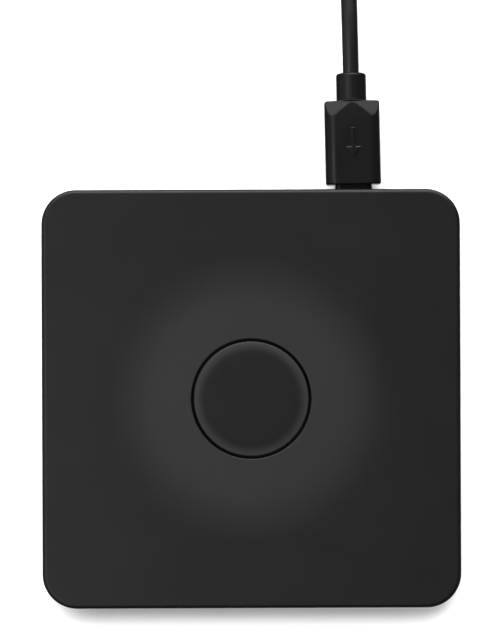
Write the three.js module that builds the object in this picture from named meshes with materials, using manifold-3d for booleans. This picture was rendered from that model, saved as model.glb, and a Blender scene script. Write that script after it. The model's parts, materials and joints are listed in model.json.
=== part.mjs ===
// A wireless charging pad with its plug-in lead, as an assembly of separate parts.
// Millimetres, +Z up. The origin is on the table under the middle of the pad.
// +Y is the back of the pad, where the lead plugs in, and +X is its right-hand side.
import * as THREE from "three";
import { mergeVertices } from "three/addons/utils/BufferGeometryUtils.js";
import Module from "manifold-3d";

const wasm = await Module();
wasm.setup();

// ---------------------------------------------------------------- driving dimensions

// Casing
const PAD_SIDE = 90;
const CORNER_RADIUS = 7.4;
const SHELL_HEIGHT = 9; // underside of the base to the top face
const WALL = 1.8;
const ROOF = 1.5;
const FLOOR = 1.6;
const PARTING_HEIGHT = 2.4; // parting line above the underside of the base
const SEAM = 0.15; // open line between the two covers
const TOP_EDGE_ROUND = 1;
const BASE_EDGE_ROUND = 1.6;
const LIP_THICKNESS = 1.2;
const LIP_HEIGHT = 1.2; // how far the base's lip stands inside the top cover
const LIP_CLEARANCE = 0.15;

// Feet and case screws, one above the other in each corner
const FOOT_DIAMETER = 10;
const FOOT_PROUD = 0.8;
const FOOT_RECESS = 0.7;
const FOOT_CLEARANCE = 0.15;
const FOOT_EDGE_ROUND = 0.35;
const FOOT_INSET = 8; // from the sides of the pad to the middle of a foot
const SCREW_DIAMETER = 2;
const SCREW_HEAD_DIAMETER = 3.8;
const SCREW_HEAD_HEIGHT = 1.4;
const SCREW_CLEARANCE = 0.15;
const SCREW_SHOULDER = 1.4; // plastic that a screw head pulls on
const SCREW_TIP_ROOM = 0.3; // between a screw's tip and the roof
const BOSS_WALL = 1.1;

// Grip disc and the light guide that it sits on
const DISC_DIAMETER = 24.6;
const DISC_GROOVE = 0.62; // open ring round the disc
const DISC_PROUD = 0.35;
const DISC_CROWN = 0.55; // fall from the flat of the disc to its rim
const DISC_FLAT_DIAMETER = 17.6;
const GUIDE_THICKNESS = 0.9;
const GUIDE_FLANGE = 2.4; // how far the guide runs under the roof, past the opening
const GUIDE_ARM_WIDTH = 6;

// Coil, ferrite and their cradle
const COIL_INNER_RADIUS = 10.25;
const COIL_TURNS = 10;
const COIL_WIRE_WIDTH = 1;
const COIL_WIRE_HEIGHT = 1.1;
const COIL_WIRE_GAP = 0.12;
const COIL_ROOM = 0.2; // between the coil and the light guide
const FERRITE_RADIUS = 24;
const FERRITE_THICKNESS = 0.8;
const FERRITE_SLOT = 1.4; // lets the inner wire out from under the coil
const CRADLE_DECK = 0.9;
const CRADLE_RIM = 1.2;
const CRADLE_LEG_WALL = 1.5;
const CRADLE_CLEARANCE = 0.3;
const SPIGOT_WALL = 1.2;
const SPIGOT_HEIGHT = 1;
const LEAD_WIRE_DIAMETER = 0.7;

// Circuit board
const BOARD_THICKNESS = 1;
const BOARD_DEPTH = 14;
const BOARD_STANDOFF = 0.65;
const BOARD_CLEARANCE = 0.35;
const BOARD_CORNER_RADIUS = 1;
const PEG_RADIUS = 0.8;
const PEG_INSET = 2.5;
const PEG_ROW = 9; // from the board's back edge
const LIGHT_SIZE = [1.6, 0.8, 0.7];
const LIGHT_SPACING = 3;
const LIGHT_INSET = 2; // from the board's front edge

// Power socket and the pad's plug
const SOCKET_INSET = 22.6; // from the right-hand side of the pad to the socket's middle
const SOCKET_WIDTH = 7.5;
const SOCKET_HEIGHT = 2.5;
const SOCKET_LENGTH = 5.8;
const SOCKET_WALL = 0.25;
const SOCKET_CLEARANCE = [0.075, 0.1]; // each side of the plug's shell, across and up
const TONGUE_SIZE = [3.7, 3.4, 0.6];
const NECK_WIDTH = 8;
const NECK_HEIGHT = 2.9;
const NECK_CLEARANCE = 0.3;
const PLUG_STANDOFF = 1.05; // open gap between the pad's back and the plug's grip
const NECK_IN_WALL = 1.1;
const PLUG_WIDTH = 11.9;
const PLUG_THICKNESS = 6.8;
const PLUG_LENGTH = 18.1;
const PLUG_EDGE_RADIUS = 2.3;
const PLUG_SHOULDER = 2.6; // length of the slanting shoulders at the cord's end
const COLLAR_DIAMETER = 6.5;
const COLLAR_LENGTH = 6;
const PLUG_SHELL_WALL = 0.22;
const PLUG_SHELL_INSERTION = 4.5; // how far the shell reaches into the socket
const SHELL_ROOT = 3; // how far a metal shell is set into its grip
const PLUG_LEAN = THREE.MathUtils.degToRad(1.1); // play of the plug in its socket

// Supply plug at the lead's far end
const SUPPLY_WIDTH = 15.2;
const SUPPLY_THICKNESS = 7.6;
const SUPPLY_LENGTH = 19;
const SUPPLY_EDGE_RADIUS = 2.2;
const SUPPLY_COLLAR_DIAMETER = 6.4;
const SUPPLY_COLLAR_LENGTH = 6;
const SUPPLY_SHELL = [12, 12, 4.5]; // across, exposed length, up
const SUPPLY_SHELL_WALL = 0.3;
const SUPPLY_WINDOW = 2.2; // side of the square holes in the metal shell

// Cord
const CORD_DIAMETER = 3.5;
const CORD_GAP = 0.3; // between the cord's end faces and what they meet
const CORD_SIDES = 8;
const COIL_LAYER_TURNS = 4; // side by side, in each of the coil's two layers
const COIL_LAYERS = 2;
const COIL_CORE_RADIUS = 14; // of the innermost turn's centre line
const COIL_CLEARANCE = 0.5; // between the coil and the straight cord that meets it
const TIE_THICKNESS = 0.5;
const TIE_WIDTH = 9;
const TIE_ANGLE = THREE.MathUtils.degToRad(200);

const GAP = 0.05; // between parts that seat on each other

// ---------------------------------------------------------------- levels and places

const half = PAD_SIDE / 2;
const baseZ = FOOT_PROUD;
const floorZ = baseZ + FLOOR;
const partingZ = baseZ + PARTING_HEIGHT;
const topZ = baseZ + SHELL_HEIGHT;
const ceilingZ = topZ - ROOF;

const cavityHalf = half - WALL;
const cavityRadius = CORNER_RADIUS - WALL;
const lipHalf = cavityHalf - LIP_CLEARANCE;
const lipInnerHalf = lipHalf - LIP_THICKNESS;

const corner = half - FOOT_INSET;
const footTop = baseZ + FOOT_RECESS;
const shoulderZ = footTop + SCREW_HEAD_HEIGHT + 2 * GAP;
const bossTop = shoulderZ + SCREW_SHOULDER;
const screwHoleRadius = SCREW_DIAMETER / 2 + SCREW_CLEARANCE;
const counterboreRadius = SCREW_HEAD_DIAMETER / 2 + SCREW_CLEARANCE;
const bossRadius = counterboreRadius + BOSS_WALL;
const screwTip = ceilingZ - SCREW_TIP_ROOM;

const discRadius = DISC_DIAMETER / 2;
const openingRadius = discRadius + DISC_GROOVE;
const guideTop = ceilingZ - GAP;
const guideBottom = guideTop - GUIDE_THICKNESS;
const guideRadius = openingRadius + GUIDE_FLANGE;

const coilTop = guideBottom - COIL_ROOM;
const coilBottom = coilTop - COIL_WIRE_HEIGHT;
const coilPitch = COIL_WIRE_WIDTH + COIL_WIRE_GAP;
const coilOuterRadius = COIL_INNER_RADIUS + COIL_TURNS * coilPitch + COIL_WIRE_WIDTH;
const ferriteTop = coilBottom - GAP;
const ferriteBottom = ferriteTop - FERRITE_THICKNESS;
const deckTop = ferriteBottom - GAP;
const deckBottom = deckTop - CRADLE_DECK;
const rimInnerRadius = FERRITE_RADIUS + CRADLE_CLEARANCE;
const cradleRadius = rimInnerRadius + CRADLE_RIM;
const rimTop = ferriteTop + GAP;
const legInnerRadius = FERRITE_RADIUS - CRADLE_LEG_WALL;

const boardBottom = floorZ + BOARD_STANDOFF;
const boardTop = boardBottom + BOARD_THICKNESS;
const boardHalf = corner - bossRadius - 2 * BOARD_CLEARANCE;
const boardBack = lipInnerHalf - BOARD_CLEARANCE;
const boardFront = boardBack - BOARD_DEPTH;
const boardNotch = cradleRadius + BOARD_CLEARANCE; // radius that the board keeps clear of
const pegX = boardHalf - PEG_INSET;
const pegY = boardBack - PEG_ROW;
const lightY = Math.max(boardFront, boardNotch) + LIGHT_INSET;

const socketX = half - SOCKET_INSET;
const socketMouth = cavityHalf - GAP;
const socketBack = socketMouth - SOCKET_LENGTH;
const plugZ = boardTop + GAP + SOCKET_HEIGHT / 2;
const plugShellWidth = SOCKET_WIDTH - 2 * (SOCKET_WALL + SOCKET_CLEARANCE[0]);
const plugShellHeight = SOCKET_HEIGHT - 2 * (SOCKET_WALL + SOCKET_CLEARANCE[1]);

// The plug turns by its lean about the middle of the length that its shell is gripped over.
const leanY = socketMouth - PLUG_SHELL_INSERTION / 2;
const gripFront = half + PLUG_STANDOFF - leanY; // from here on along the plug's own axis
const gripBack = gripFront + PLUG_LENGTH;
const collarEnd = gripBack + COLLAR_LENGTH;
const neckFront = half - NECK_IN_WALL - leanY;
const shellTip = socketMouth - PLUG_SHELL_INSERTION - leanY;

// Where the cord leaves the collar
const exitX = socketX - Math.sin(PLUG_LEAN) * collarEnd;
const exitY = leanY + Math.cos(PLUG_LEAN) * collarEnd;

// ---------------------------------------------------------------- the cord's route

// From the collar to the coil: the way gone, and the share of the drop to the table
const CORD_RUN = [
  [0, 0],
  [3, 0],
  [7, 0.03],
  [11, 0.13],
  [15, 0.31],
  [19, 0.53],
  [23, 0.74],
  [27, 0.9],
  [31, 0.98],
  [34, 1],
];
// From the coil to the supply plug, in the same way
const CORD_TAIL = [
  [0, 0],
  [2.5, 0.06],
  [5, 0.24],
  [8, 0.6],
  [11, 0.92],
  [14, 1],
];

const cordRadius = CORD_DIAMETER / 2;
const outerTurnRadius = COIL_CORE_RADIUS + (COIL_LAYER_TURNS - 1) * CORD_DIAMETER;
const bundleInnerRadius = COIL_CORE_RADIUS - cordRadius;
const bundleOuterRadius = outerTurnRadius + cordRadius;
const coilLift = TIE_THICKNESS + GAP;
const bundleTop = coilLift + COIL_LAYERS * CORD_DIAMETER;
const runEndZ = cordRadius + GAP; // on the table
const tailStartZ = runEndZ + (COIL_LAYERS - 1) * CORD_DIAMETER;

// The straight cord meets the coil along a tangent, this far short of the point where it touches.
const coilStandback = Math.sqrt(
  (bundleOuterRadius + COIL_CLEARANCE) ** 2 - (outerTurnRadius - cordRadius) ** 2,
);
const runLength = CORD_RUN.at(-1)[0] + CORD_GAP;
const tailLength = CORD_TAIL.at(-1)[0] + CORD_GAP;
const coilX = exitX - Math.tan(PLUG_LEAN) * runLength - outerTurnRadius;
const coilY = exitY + runLength + coilStandback;
const supplyX = coilX - coilStandback - tailLength;
const supplyY = coilY + outerTurnRadius;
const supplyZ = SUPPLY_THICKNESS / 2;

// ---------------------------------------------------------------- materials

function plastic(colour, roughness) {
  return new THREE.MeshStandardMaterial({ color: colour, roughness, metalness: 0 });
}

function metal(colour, roughness) {
  return new THREE.MeshStandardMaterial({ color: colour, roughness, metalness: 1 });
}

const softTouch = plastic(0x2b2b2b, 0.6);
const baseBlack = plastic(0x202020, 0.7);
const silicone = plastic(0x272727, 0.75);
const smokedClear = plastic(0x0a0a0c, 0.2);
const footRubber = plastic(0x1a1a1a, 0.85);
const cordBlack = plastic(0x141414, 0.5);
const plugBlack = plastic(0x191919, 0.5);
const nickel = metal(0xb9bcc0, 0.3);
const zincSteel = metal(0x9a9ea3, 0.35);
const copper = metal(0xb0673a, 0.4);
const ferriteGrey = plastic(0x3a3a3d, 0.6);
const cradleWhite = plastic(0xd8d8d2, 0.6);
const boardGreen = plastic(0x1d5a36, 0.45);
const chipBlack = plastic(0x161617, 0.5);
const capacitorTan = plastic(0xb08a5c, 0.5);
const lightWhite = plastic(0xf2efe2, 0.3);
const insertBlack = plastic(0x101010, 0.5);
const tieBlack = plastic(0x18181a, 0.9);

// ---------------------------------------------------------------- shapes and solids

// A closed geometry as a solid that can be joined and cut.
function solidOf(geometry) {
  const bare = geometry.clone();
  bare.deleteAttribute("normal");
  bare.deleteAttribute("uv");
  const merged = mergeVertices(bare, 1e-4);
  return new wasm.Manifold(
    new wasm.Mesh({
      numProp: 3,
      vertProperties: new Float32Array(merged.attributes.position.array),
      triVerts: new Uint32Array(merged.index.array),
    }),
  );
}

// A solid's vertices and triangles as a flat-shaded geometry.
function geometryOf(solid) {
  const mesh = solid.getMesh();
  const positions = new Float32Array(mesh.numVert * 3);
  for (let i = 0; i < mesh.numVert; i++) {
    const start = i * mesh.numProp;
    positions.set(mesh.vertProperties.subarray(start, start + 3), i * 3);
  }
  const indexed = new THREE.BufferGeometry();
  indexed.setAttribute("position", new THREE.BufferAttribute(positions, 3));
  indexed.setIndex(new THREE.BufferAttribute(new Uint32Array(mesh.triVerts), 1));
  const flat = indexed.toNonIndexed();
  flat.computeVertexNormals();
  return flat;
}

function part(name, material, shape) {
  const geometry = shape.isBufferGeometry ? shape : geometryOf(shape);
  const mesh = new THREE.Mesh(geometry, material);
  mesh.name = name;
  return mesh;
}

function roundedRectangle(width, depth, radius) {
  const x = width / 2 - radius;
  const y = depth / 2 - radius;
  const shape = new THREE.Shape();
  shape.absarc(x, y, radius, 0, Math.PI / 2);
  shape.absarc(-x, y, radius, Math.PI / 2, Math.PI);
  shape.absarc(-x, -y, radius, Math.PI, 1.5 * Math.PI);
  shape.absarc(x, -y, radius, 1.5 * Math.PI, 2 * Math.PI);
  return shape;
}

// An outline extruded straight up from z0 to z1.
function prism(shape, z0, z1, curveSegments = 4) {
  const made = new THREE.ExtrudeGeometry(shape, {
    depth: z1 - z0,
    bevelEnabled: false,
    curveSegments,
  });
  return solidOf(made.translate(0, 0, z0));
}

// A slab whose upper and lower edges are both rounded by the same radius.
function roundedSlab(width, depth, radius, z0, z1, edge, edgeSteps = 3) {
  const outline = roundedRectangle(width - 2 * edge, depth - 2 * edge, radius - edge);
  const made = new THREE.ExtrudeGeometry(outline, {
    depth: z1 - z0 - 2 * edge,
    bevelEnabled: true,
    bevelSize: edge,
    bevelThickness: edge,
    bevelSegments: edgeSteps,
    curveSegments: 4,
  });
  return solidOf(made.translate(0, 0, z0 + edge));
}

function box(width, depth, z0, z1, x = 0, y = 0) {
  const made = new THREE.BoxGeometry(width, depth, z1 - z0);
  return solidOf(made.translate(x, y, (z0 + z1) / 2));
}

function cylinder(radius, z0, z1, x = 0, y = 0, sides = 24) {
  const made = new THREE.CylinderGeometry(radius, radius, z1 - z0, sides);
  made.rotateX(Math.PI / 2);
  return solidOf(made.translate(x, y, (z0 + z1) / 2));
}

function ring(outerRadius, innerRadius, z0, z1, sides = 40) {
  const bore = cylinder(innerRadius, z0 - 1, z1 + 1, 0, 0, sides);
  return cylinder(outerRadius, z0, z1, 0, 0, sides).subtract(bore);
}

// A profile of [radius, height] points turned about the Z axis, listed from the bottom up.
function turned(profile, sides = 24) {
  const points = profile.map(([radius, height]) => new THREE.Vector2(radius, height));
  return new THREE.LatheGeometry(points, sides).rotateX(Math.PI / 2);
}

// A cross-section in X and Z, extruded along +Y from y0 to y1.
function barAlongY(shape, y0, y1, curveSegments = 3) {
  const made = new THREE.ExtrudeGeometry(shape, {
    depth: y1 - y0,
    bevelEnabled: false,
    curveSegments,
  });
  return solidOf(made.rotateX(Math.PI / 2).translate(0, y1, 0));
}

function tube(points, diameter, sides, steps) {
  const curve = new THREE.CatmullRomCurve3(points, false, "centripetal");
  const section = new THREE.Shape();
  for (let i = 0; i < sides; i++) {
    const angle = (2 * Math.PI * i) / sides;
    const x = (diameter / 2) * Math.cos(angle);
    const y = (diameter / 2) * Math.sin(angle);
    if (i === 0) section.moveTo(x, y);
    else section.lineTo(x, y);
  }
  return new THREE.ExtrudeGeometry(section, { steps, extrudePath: curve });
}

// The four corners, each with its name and its signs in X and Y
const CORNERS = [
  ["front_left", -1, -1],
  ["front_right", 1, -1],
  ["back_left", -1, 1],
  ["back_right", 1, 1],
];

function atCorners(make) {
  return CORNERS.map(([, x, y]) => make(x * corner, y * corner));
}

function joined(solids) {
  return solids.reduce((all, solid) => all.add(solid));
}

// ---------------------------------------------------------------- casing

const CUT_OVER = 1; // how far a cutter runs past the face that it opens

// The way through the back wall for the plug's neck
function neckOpening(y0, y1) {
  const width = NECK_WIDTH + 2 * NECK_CLEARANCE;
  const height = NECK_HEIGHT + 2 * NECK_CLEARANCE;
  const outline = roundedRectangle(width, height, height / 2.5);
  return barAlongY(outline, y0, y1).translate([socketX, 0, plugZ]);
}

function topCover() {
  const outer = roundedSlab(
    PAD_SIDE,
    PAD_SIDE,
    CORNER_RADIUS,
    partingZ - 2 * TOP_EDGE_ROUND,
    topZ,
    TOP_EDGE_ROUND,
  );
  const below = box(PAD_SIDE + 2, PAD_SIDE + 2, partingZ - SHELL_HEIGHT, partingZ);
  const cavity = prism(
    roundedRectangle(2 * cavityHalf, 2 * cavityHalf, cavityRadius),
    partingZ - CUT_OVER,
    ceilingZ,
  );
  const posts = atCorners((x, y) =>
    cylinder(bossRadius - GAP, bossTop + GAP, ceilingZ + ROOF / 2, x, y, 20),
  );
  const holes = atCorners((x, y) =>
    cylinder(screwHoleRadius, bossTop - CUT_OVER, screwTip + GAP, x, y, 12),
  );
  return outer
    .subtract(below)
    .subtract(cavity)
    .add(joined(posts))
    .subtract(joined(holes))
    .subtract(cylinder(openingRadius, ceilingZ - CUT_OVER, topZ + CUT_OVER, 0, 0, 64))
    .subtract(neckOpening(cavityHalf - CUT_OVER, half + CUT_OVER));
}

function baseCover() {
  const pan = roundedSlab(
    PAD_SIDE,
    PAD_SIDE,
    CORNER_RADIUS,
    baseZ,
    partingZ + 2 * BASE_EDGE_ROUND,
    BASE_EDGE_ROUND,
  ).subtract(box(PAD_SIDE + 2, PAD_SIDE + 2, partingZ - SEAM, topZ + CUT_OVER));
  const lip = prism(
    roundedRectangle(2 * lipHalf, 2 * lipHalf, cavityRadius - LIP_CLEARANCE),
    floorZ,
    partingZ + LIP_HEIGHT,
  );
  const insideRadius = cavityRadius - LIP_CLEARANCE - LIP_THICKNESS;
  const inside = prism(
    roundedRectangle(2 * lipInnerHalf, 2 * lipInnerHalf, insideRadius),
    floorZ,
    topZ,
  );
  const socketNotch = box(
    SOCKET_WIDTH + 4,
    2 * LIP_THICKNESS + WALL,
    boardBottom,
    topZ,
    socketX,
    lipHalf,
  );
  const bosses = atCorners((x, y) => cylinder(bossRadius, baseZ + FLOOR / 2, bossTop, x, y, 20));
  const standoffs = [-1, 1].map((side) =>
    cylinder(PEG_RADIUS + 1, floorZ - GAP, boardBottom - GAP, side * pegX, pegY, 16),
  );
  const pegs = [-1, 1].map((side) =>
    cylinder(PEG_RADIUS, floorZ - GAP, boardTop + BOARD_STANDOFF, side * pegX, pegY, 12),
  );
  const spigotRadius = legInnerRadius - CRADLE_CLEARANCE;
  const spigot = ring(spigotRadius, spigotRadius - SPIGOT_WALL, floorZ - GAP, floorZ + SPIGOT_HEIGHT);
  const recesses = atCorners((x, y) =>
    cylinder(FOOT_DIAMETER / 2 + FOOT_CLEARANCE, baseZ - CUT_OVER, footTop, x, y, 32),
  );
  const counterbores = atCorners((x, y) =>
    cylinder(counterboreRadius, baseZ - CUT_OVER, shoulderZ, x, y, 16),
  );
  const holes = atCorners((x, y) =>
    cylinder(screwHoleRadius, baseZ - CUT_OVER, bossTop + CUT_OVER, x, y, 12),
  );
  return pan
    .add(lip)
    .subtract(inside)
    .subtract(socketNotch)
    .add(joined([...bosses, ...standoffs, ...pegs, spigot]))
    .subtract(joined([...recesses, ...counterbores, ...holes]));
}

function foot() {
  const radius = FOOT_DIAMETER / 2;
  return turned(
    [
      [0, 0],
      [radius - FOOT_EDGE_ROUND, 0],
      [radius, FOOT_EDGE_ROUND],
      [radius, footTop - GAP],
      [0, footTop - GAP],
    ],
    32,
  );
}

// A pan-head screw, head down, with a cross recess in the head
function caseScrew() {
  const headZ = footTop + GAP;
  const shankZ = shoulderZ - GAP;
  const shank = SCREW_DIAMETER / 2;
  const head = SCREW_HEAD_DIAMETER / 2;
  const screw = turned(
    [
      [0, headZ],
      [0.75 * head, headZ],
      [head, headZ + 0.35 * SCREW_HEAD_HEIGHT],
      [head, shankZ],
      [shank, shankZ],
      [shank, screwTip - shank],
      [0.25 * shank, screwTip],
      [0, screwTip],
    ],
    16,
  );
  const blade = SCREW_HEAD_DIAMETER / 6;
  const recessTop = headZ + SCREW_HEAD_HEIGHT / 2;
  const recess = box(3 * blade, blade, 0, recessTop).add(box(blade, 3 * blade, 0, recessTop));
  return solidOf(screw).subtract(recess);
}

// ---------------------------------------------------------------- grip disc and light guide

// The disc is flat in the middle and falls away to its rim along a quarter of an ellipse.
function gripDisc() {
  const crownSteps = 6;
  const flatRadius = DISC_FLAT_DIAMETER / 2;
  const top = topZ + DISC_PROUD;
  const crown = [];
  for (let i = 0; i <= crownSteps; i++) {
    const angle = (Math.PI / 2) * (i / crownSteps);
    crown.push([
      flatRadius + (discRadius - flatRadius) * Math.cos(angle),
      top - DISC_CROWN + DISC_CROWN * Math.sin(angle),
    ]);
  }
  return turned([[0, guideTop + GAP], [discRadius, guideTop + GAP], ...crown, [0, top]], 64);
}

function lightGuide() {
  const armEnd = lightY + LIGHT_SIZE[1];
  const plate = cylinder(guideRadius, guideBottom, guideTop, 0, 0, 48);
  return plate.add(box(GUIDE_ARM_WIDTH, armEnd, guideBottom, guideTop, 0, armEnd / 2));
}

// ---------------------------------------------------------------- coil and its cradle

const COIL_SEGMENTS = 28; // per turn
const COIL_START = THREE.MathUtils.degToRad(112); // where the winding's inner end lies

// The coil is one strip of wire: a spiral outline, out along one edge and back along the other.
function transmitCoil() {
  const steps = COIL_TURNS * COIL_SEGMENTS;
  const inner = [];
  const outer = [];
  for (let i = 0; i <= steps; i++) {
    const turns = i / COIL_SEGMENTS;
    const angle = COIL_START - 2 * Math.PI * turns;
    const radius = COIL_INNER_RADIUS + coilPitch * turns;
    const direction = new THREE.Vector2(Math.cos(angle), Math.sin(angle));
    inner.push(direction.clone().multiplyScalar(radius));
    outer.push(direction.clone().multiplyScalar(radius + COIL_WIRE_WIDTH));
  }
  const outline = new THREE.Shape([...inner, ...outer.reverse()]);
  return prism(outline, coilBottom, coilTop);
}

// A coil wire runs from its end of the winding to a pad near the board's front edge.
function coilWire(points) {
  const vectors = points.map(([x, y, z]) => new THREE.Vector3(x, y, z));
  return tube(vectors, LEAD_WIRE_DIAMETER, 8, 20);
}

function outerCoilWire() {
  const radius = coilOuterRadius + 4 * GAP;
  const middle = (coilTop + coilBottom) / 2;
  const x = radius * Math.cos(COIL_START);
  const y = radius * Math.sin(COIL_START);
  const clearOfRim = rimTop + LEAD_WIRE_DIAMETER / 2 + GAP;
  const padY = lightY + 1;
  return coilWire([
    [x, y, middle],
    [x, y + 1.5, Math.max(middle, clearOfRim)],
    [x, cradleRadius - 1, clearOfRim],
    [x, padY - 1, boardTop + LEAD_WIRE_DIAMETER],
    [x, padY + 1, boardTop + LEAD_WIRE_DIAMETER / 2 + GAP],
  ]);
}

// The inner wire drops inside the winding and leaves through the slot in the ferrite.
function innerCoilWire() {
  const slotZ = (ferriteTop + ferriteBottom) / 2;
  const startY = COIL_INNER_RADIUS - 1.6;
  const padY = lightY + 1;
  return coilWire([
    [innerWireX, startY, slotZ],
    [innerWireX, FERRITE_RADIUS / 2, slotZ],
    [innerWireX, FERRITE_RADIUS - 1, slotZ],
    [innerWireX, cradleRadius + 4 * GAP, slotZ],
    [innerWireX, padY - 1, boardTop + LEAD_WIRE_DIAMETER],
    [innerWireX, padY + 1, boardTop + LEAD_WIRE_DIAMETER / 2 + GAP],
  ]);
}

const innerWireX = COIL_INNER_RADIUS * Math.cos(COIL_START);

function ferriteSheet() {
  const slot = box(
    FERRITE_SLOT,
    FERRITE_RADIUS,
    ferriteBottom - CUT_OVER,
    ferriteTop + CUT_OVER,
    innerWireX,
    COIL_INNER_RADIUS - 2 + FERRITE_RADIUS / 2,
  );
  return cylinder(FERRITE_RADIUS, ferriteBottom, ferriteTop, 0, 0, 40).subtract(slot);
}

function coilCradle() {
  const deck = cylinder(cradleRadius, deckBottom, deckTop, 0, 0, 40);
  const rim = ring(cradleRadius, rimInnerRadius, deckBottom, rimTop);
  const leg = ring(FERRITE_RADIUS, legInnerRadius, floorZ + GAP, deckBottom + GAP);
  const windowAway = FERRITE_RADIUS / 2;
  const windows = [0, 1, 2, 3].map((i) => {
    const angle = (Math.PI / 2) * (i + 0.5);
    const x = windowAway * Math.cos(angle);
    const y = windowAway * Math.sin(angle);
    return cylinder(FERRITE_RADIUS / 5, deckBottom - CUT_OVER, deckTop + CUT_OVER, x, y, 20);
  });
  const wireNotch = box(
    FERRITE_SLOT,
    CRADLE_RIM * 4,
    deckTop,
    rimTop + CUT_OVER,
    innerWireX,
    cradleRadius,
  );
  return deck.add(rim).add(leg).subtract(joined(windows)).subtract(wireNotch);
}

// ---------------------------------------------------------------- circuit board

function circuitBoard() {
  const plate = prism(
    roundedRectangle(2 * boardHalf, BOARD_DEPTH, BOARD_CORNER_RADIUS),
    boardBottom,
    boardTop,
    2,
  ).translate([0, boardBack - BOARD_DEPTH / 2, 0]);
  const pegHoles = [-1, 1].map((side) =>
    cylinder(PEG_RADIUS + 0.2, boardBottom - 1, boardTop + 1, side * pegX, pegY, 12),
  );
  const notch = cylinder(boardNotch, boardBottom - 1, boardTop + 1, 0, 0, 64);
  return plate.subtract(joined(pegHoles)).subtract(notch);
}

// What stands on the board: name, material, size, and its middle from X 0 and the board's back edge
const BOARD_PIECES = [
  ["control_chip", chipBlack, [5, 5, 0.9], [-8, 3.4]],
  ["bridge_chip_left", chipBlack, [3.3, 3.3, 0.9], [-18, 3.4]],
  ["bridge_chip_right", chipBlack, [3.3, 3.3, 0.9], [-13.4, 3.4]],
  ["choke", ferriteGrey, [5, 5, 2.4], [-18.4, 9.1]],
  ["tuning_capacitor_1", capacitorTan, [1.8, 2.5, 1.6], [-21.4, 1.9]],
  ["tuning_capacitor_2", capacitorTan, [1.8, 2.5, 1.6], [-24, 1.9]],
  ["tuning_capacitor_3", capacitorTan, [1.8, 2.5, 1.6], [-21.4, 4.9]],
  ["tuning_capacitor_4", capacitorTan, [1.8, 2.5, 1.6], [-24, 4.9]],
];

function boardPieces() {
  return BOARD_PIECES.map(([name, material, [width, depth, height], [x, inset]]) => {
    const geometry = new THREE.BoxGeometry(width, depth, height);
    const mesh = part(name, material, geometry);
    mesh.position.set(x, boardBack - inset, boardTop + GAP + height / 2);
    return mesh;
  });
}

function statusLights() {
  const [width, depth, height] = LIGHT_SIZE;
  return [
    ["status_light_left", -1],
    ["status_light_right", 1],
  ].map(([name, side]) => {
    const mesh = part(name, lightWhite, new THREE.BoxGeometry(width, depth, height));
    mesh.position.set((side * LIGHT_SPACING) / 2, lightY, boardTop + GAP + height / 2);
    return mesh;
  });
}

// The socket's metal shell is a flat tube, open at the mouth and closed at the back.
function socketShell() {
  const outer = box(SOCKET_WIDTH, SOCKET_LENGTH, -SOCKET_HEIGHT / 2, SOCKET_HEIGHT / 2);
  const inside = box(
    SOCKET_WIDTH - 2 * SOCKET_WALL,
    SOCKET_LENGTH,
    -SOCKET_HEIGHT / 2 + SOCKET_WALL,
    SOCKET_HEIGHT / 2 - SOCKET_WALL,
    0,
    SOCKET_WALL,
  );
  return outer.subtract(inside).translate([socketX, (socketMouth + socketBack) / 2, plugZ]);
}

function socketTongue() {
  const [width, length, thickness] = TONGUE_SIZE;
  const root = socketBack + SOCKET_WALL + GAP;
  const block = 0.7;
  const blockHalf = SOCKET_HEIGHT / 2 - SOCKET_WALL - GAP;
  const blockWidth = SOCKET_WIDTH - 2 * (SOCKET_WALL + GAP);
  const back = box(blockWidth, block, -blockHalf, blockHalf, 0, root + block / 2);
  const blade = box(width, length, -thickness / 2, thickness / 2, 0, root + length / 2);
  return back.add(blade).translate([socketX, 0, plugZ]);
}

// ---------------------------------------------------------------- plugs

// A moulded grip along +Y: a rounded bar from frontY to backY whose cord end has slanting
// shoulders, and a round collar.
function mouldedGrip({ width, thickness, edge, shoulder, frontY, backY, collar, collarLength }) {
  const bar = barAlongY(roundedRectangle(width, thickness, edge), frontY, backY, 4);
  const slope = Math.atan2(shoulder, (width - collar) / 2);
  const shoulders = [-1, 1].flatMap((side) =>
    [-1, 1].map((face) => {
      const cutter = new THREE.BoxGeometry(width, width, thickness);
      cutter.translate(0, width / 2, thickness / 2);
      cutter.rotateX(-slope / 2);
      cutter.rotateZ(-slope);
      cutter.translate(collar / 2, backY - shoulder / 4, thickness / 2 - 0.2);
      if (side < 0) cutter.rotateY(Math.PI);
      const solid = solidOf(cutter);
      const turnedOver = side < 0 ? -face : face;
      return turnedOver > 0 ? solid : solid.mirror([0, 0, 1]);
    }),
  );
  const relief = new THREE.CylinderGeometry(collar / 2, collar / 2, collarLength + 1, 24);
  relief.translate(0, backY + (collarLength - 1) / 2, 0);
  return bar.subtract(joined(shoulders)).add(solidOf(relief));
}

// A flat metal tube along Y from y0 to y1, open at both ends
function flatTube(width, height, wall, y0, y1) {
  const outer = box(width, y1 - y0, -height / 2, height / 2, 0, (y0 + y1) / 2);
  const inside = box(
    width - 2 * wall,
    y1 - y0 + 2,
    -height / 2 + wall,
    height / 2 - wall,
    0,
    (y0 + y1) / 2,
  );
  return outer.subtract(inside);
}

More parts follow.
